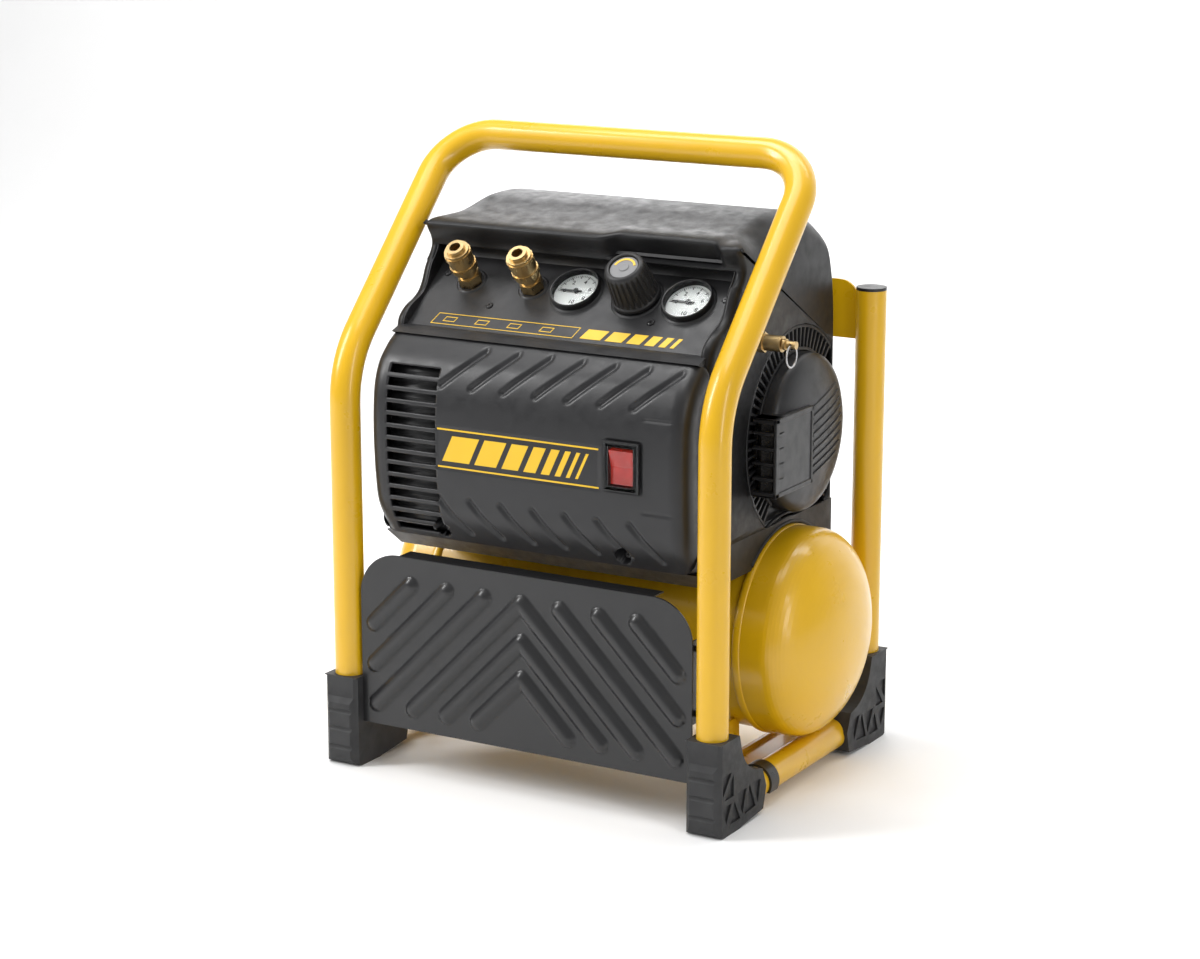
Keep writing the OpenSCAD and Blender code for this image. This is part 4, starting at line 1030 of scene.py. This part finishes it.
def grille():
    """Radial fins round each end cover, with a rim outside and inside them, over a black sheet that is painted
    shade between the fins.
    """
    for side, tag in ((-1, "left"), (1, "right")):
        shapes = ([], [])
        for i in range(72):
            a = math.radians(5.0 * i)
            c, s_ = math.cos(a), math.sin(a)
            y, z = MOTOR_Y + 100 * c, MOTOR_Z + 100 * s_
            if y > 131 or z < 254:
                continue
            fin = [(80.0, -1.1), (101.5, -1.5), (101.5, 1.5), (80.0, 1.1)]
            shapes = joined(shapes, prism(fin, 168.8, 172.4, lambda r, t, h: Vector(
                (side * h, MOTOR_Y + r * c - t * s_, MOTOR_Z + r * s_ + t * c))))
        for r0, r1, first in ((78.4, 81.5, 38.0), (100.5, 103.2, 43.0)):
            ring = arc(MOTOR_Y, MOTOR_Z, r1, first, 232.0, 90) + arc(MOTOR_Y, MOTOR_Z, r0, 232.0, first, 90)
            ring = [(y, max(z, 250.6)) for y, z in ring if y < 133.0]
            shapes = joined(shapes, side_slab(ring, 168.8, 172.9, side))
        obj = piece(f"grille_{tag}", mesh_of(f"grille_{tag}", *shapes), "dark_plastic",
                    replaces=["side_grilles"], smooth=30.0)
        fix_normals(obj.data)
        soften(obj, 0.4)
        # Black sheet behind the fins: painted shade seen between them.
        back = arc(MOTOR_Y, MOTOR_Z, 103.0, 43.0, 232.0, 60) + [(MOTOR_Y, 251.0), (118.0, 251.0)]
        verts, faces = side_slab([(y, max(z, 250.8)) for y, z in back], 163.0, 164.5, side)
        obj = piece(f"grille_shade_sheet_{tag}", mesh_of(f"grille_shade_sheet_{tag}", verts, faces), "needle_black",
                    material=MATERIALS["black_plastic"])
        fix_normals(obj.data)


DUCT_LO, DUCT_HI = (-35.0, 288.0), (43.0, 364.0)
END_COVER_R = 77.4
DOME = [(0.0, 196.8), (18.0, 196.4), (36.0, 195.4), (50.0, 193.8), (60.0, 192.0), (66.0, 190.4), (71.0, 188.6),
        (74.6, 186.6), (76.6, 184.2), (END_COVER_R, 181.0)]
LOUVRE_LEAN, LOUVRE_PITCH, LOUVRE_REACH = 0.24, 8.4, 55.0


def end_cover():
    """Domed cover over the crankcase, with the intake duct on its front half and slanted louvres behind."""
    verts, faces = lathe([(END_COVER_R, 166.5)] + DOME[::-1], 128)
    obj = piece("end_cover", mesh_of("end_cover", moved(verts, axis_yz(MOTOR_Y, MOTOR_Z)), faces),
                "shroud_plastic", replaces=["pump_end_cover"], smooth=40.0)
    fix_normals(obj.data)
    intake_duct()
    end_louvres()


def intake_duct():
    """Box open to the front between bars, with a raised frame on its outer face and a black wall inside as
    painted shade.
    """
    (y0, z0), (y1, z1) = DUCT_LO, DUCT_HI
    inner, face, rim = 173.5, 195.5, 199.0
    slabs = [(y0, y0 + 18, z0, z0 + 5, inner, 198.0)]
    for k in range(1, 5):
        bar = z0 + 3.0 + 14.6 * k
        slabs.append((y0, y0 + 18, bar - 1.4, bar + 1.4, inner, 198.0))
    slabs += [(y0, y0 + 18, z1 - 5, z1, inner, 198.0), (y0, y1, z0, z1, face, 198.0),
              (y0, y1, z0, z0 + 2.5, inner, 196.0), (y0, y1, z1 - 2.5, z1, inner, 196.0),
              (y0, y1, z0, z0 + 5, 197.0, rim), (y0, y1, z1 - 5, z1, 197.0, rim),
              (y0, y0 + 7, z0, z1, 197.0, rim), (y1 - 4, y1, z0, z1, 197.0, rim)]
    shapes = ([], [])
    for ya, yb, za, zb, low, high in slabs:
        shapes = joined(shapes, side_slab([(ya, za), (yb, za), (yb, zb), (ya, zb)], low, high))
    obj = piece("intake_duct", mesh_of("intake_duct", *shapes), "shroud_plastic", smooth=30.0)
    fix_normals(obj.data)
    soften(obj, 0.8)
    # Black wall behind the bars: painted shade inside the duct.
    wall = [(y0 + 12, z0 + 3), (y0 + 13.5, z0 + 3), (y0 + 13.5, z1 - 3), (y0 + 12, z1 - 3)]
    obj = piece("intake_shade_wall", mesh_of("intake_shade_wall", *side_slab(wall, 174.0, 196.0)), "needle_black",
                material=MATERIALS["black_plastic"])
    fix_normals(obj.data)


def end_louvres():
    """Slanted louvres on the rear half of the dome, each with a black strip under it as painted shade of its
    gap.
    """
    blades, shade_strips = ([], []), ([], [])
    steps, start = 12, DUCT_HI[0] + 3.0
    for i in range(-4, 5):
        z = MOTOR_Z - 2.0 + LOUVRE_PITCH * i
        end = MOTOR_Y + 2.0 + math.sqrt(LOUVRE_REACH ** 2 - (LOUVRE_PITCH * i) ** 2)
        for store, dz0, dz1, out in ((shade_strips, -3.6, 0.2, 0.25), (blades, 0.2, 4.2, 1.6)):
            verts = []
            for k in range(steps + 1):
                y = start + (end - start) * k / steps
                for dz, o in ((dz0, 0.0), (dz0 + 0.5, out), (dz1 - 0.5, out), (dz1, 0.0)):
                    height = z + dz + LOUVRE_LEAN * (y - (start + end) / 2)
                    r = math.hypot(y - MOTOR_Y, height - MOTOR_Z)
                    verts.append(Vector((dome_height(r) + o - 0.3, y, height)))
            store[0][:], store[1][:] = joined(store, (verts, tube_faces(steps + 1, 4)))
    obj = piece("end_louvres", mesh_of("end_louvres", *blades), "shroud_plastic", smooth=45.0)
    fix_normals(obj.data)
    # Black strips under the blades: painted shade of the gaps.
    obj = piece("end_louvre_shade", mesh_of("end_louvre_shade", *shade_strips), "dark_plastic",
                material=MATERIALS["needle_black"], smooth=45.0)
    fix_normals(obj.data)


def dome_height(r):
    """X of the end cover's dome at the distance r from its axis."""
    for (r0, h0), (r1, h1) in zip(DOME, DOME[1:]):
        if r <= r1:
            return h0 + (h1 - h0) * (r - r0) / (r1 - r0)
    return DOME[-1][1]


# ---- tank dressing and saddle ----

def tank_details():
    """Joggled edge of each head, the weld bead round it, and the small plate on the dome."""
    verts, faces = [], []
    for side in (-1, 1):
        bead = [(99.0, 167.5), (101.2, 168.2), (102.6, 169.6), (103.0, 171.4), (102.9, 175.6), (102.4, 176.6),
                (101.6, 177.0)]
        v, f = lathe([(r, side * h) for r, h in bead], 128)
        verts, faces = joined((verts, faces), (moved(v, axis_yz(TANK_Y, TANK_Z)), f))
    obj = piece("tank_joints", mesh_of("tank_joints", verts, faces), "cage_paint", smooth=50.0)
    fix_normals(obj.data)
    mark = [(TANK_Y + 8.0 + a, TANK_Z + b) for a, b in ((-2, -6), (2, -6), (2, 6), (-2, 6))]
    obj = piece("tank_plate", mesh_of("tank_plate", *side_slab(mark, 246.6, 247.7)), "cage_paint")
    fix_normals(obj.data)
    soften(obj, 0.4)


def saddle():
    """Stepped ridges of the tray where it wraps the tank's crown, seen beside the tank's ends."""
    shapes = ([], [])
    for side in (-1, 1):
        for r, x, size in ((105.2, 172.6, 1.9), (109.6, 171.4, 1.7), (114.2, 170.2, 1.7)):
            path = [Vector((side * x, y, z)) for y, z in arc(TANK_Y, TANK_Z, r, 132.0, 36.0, 32)]
            shapes = joined(shapes, sweep(path, size, 16))
    piece("saddle_ridges", mesh_of("saddle_ridges", *shapes), "dark_plastic", smooth=60.0)


camera()
studio()
paint_cad_nodes()
cage()
guard()
front_cover()
cover_screws()
hood()
panel_dressing()
grille()
end_cover()
tank_details()
saddle()
for gauge_side, gauge_x in zip(("left", "right"), GAUGE_X):
    gauge(gauge_side, gauge_x)
knob()
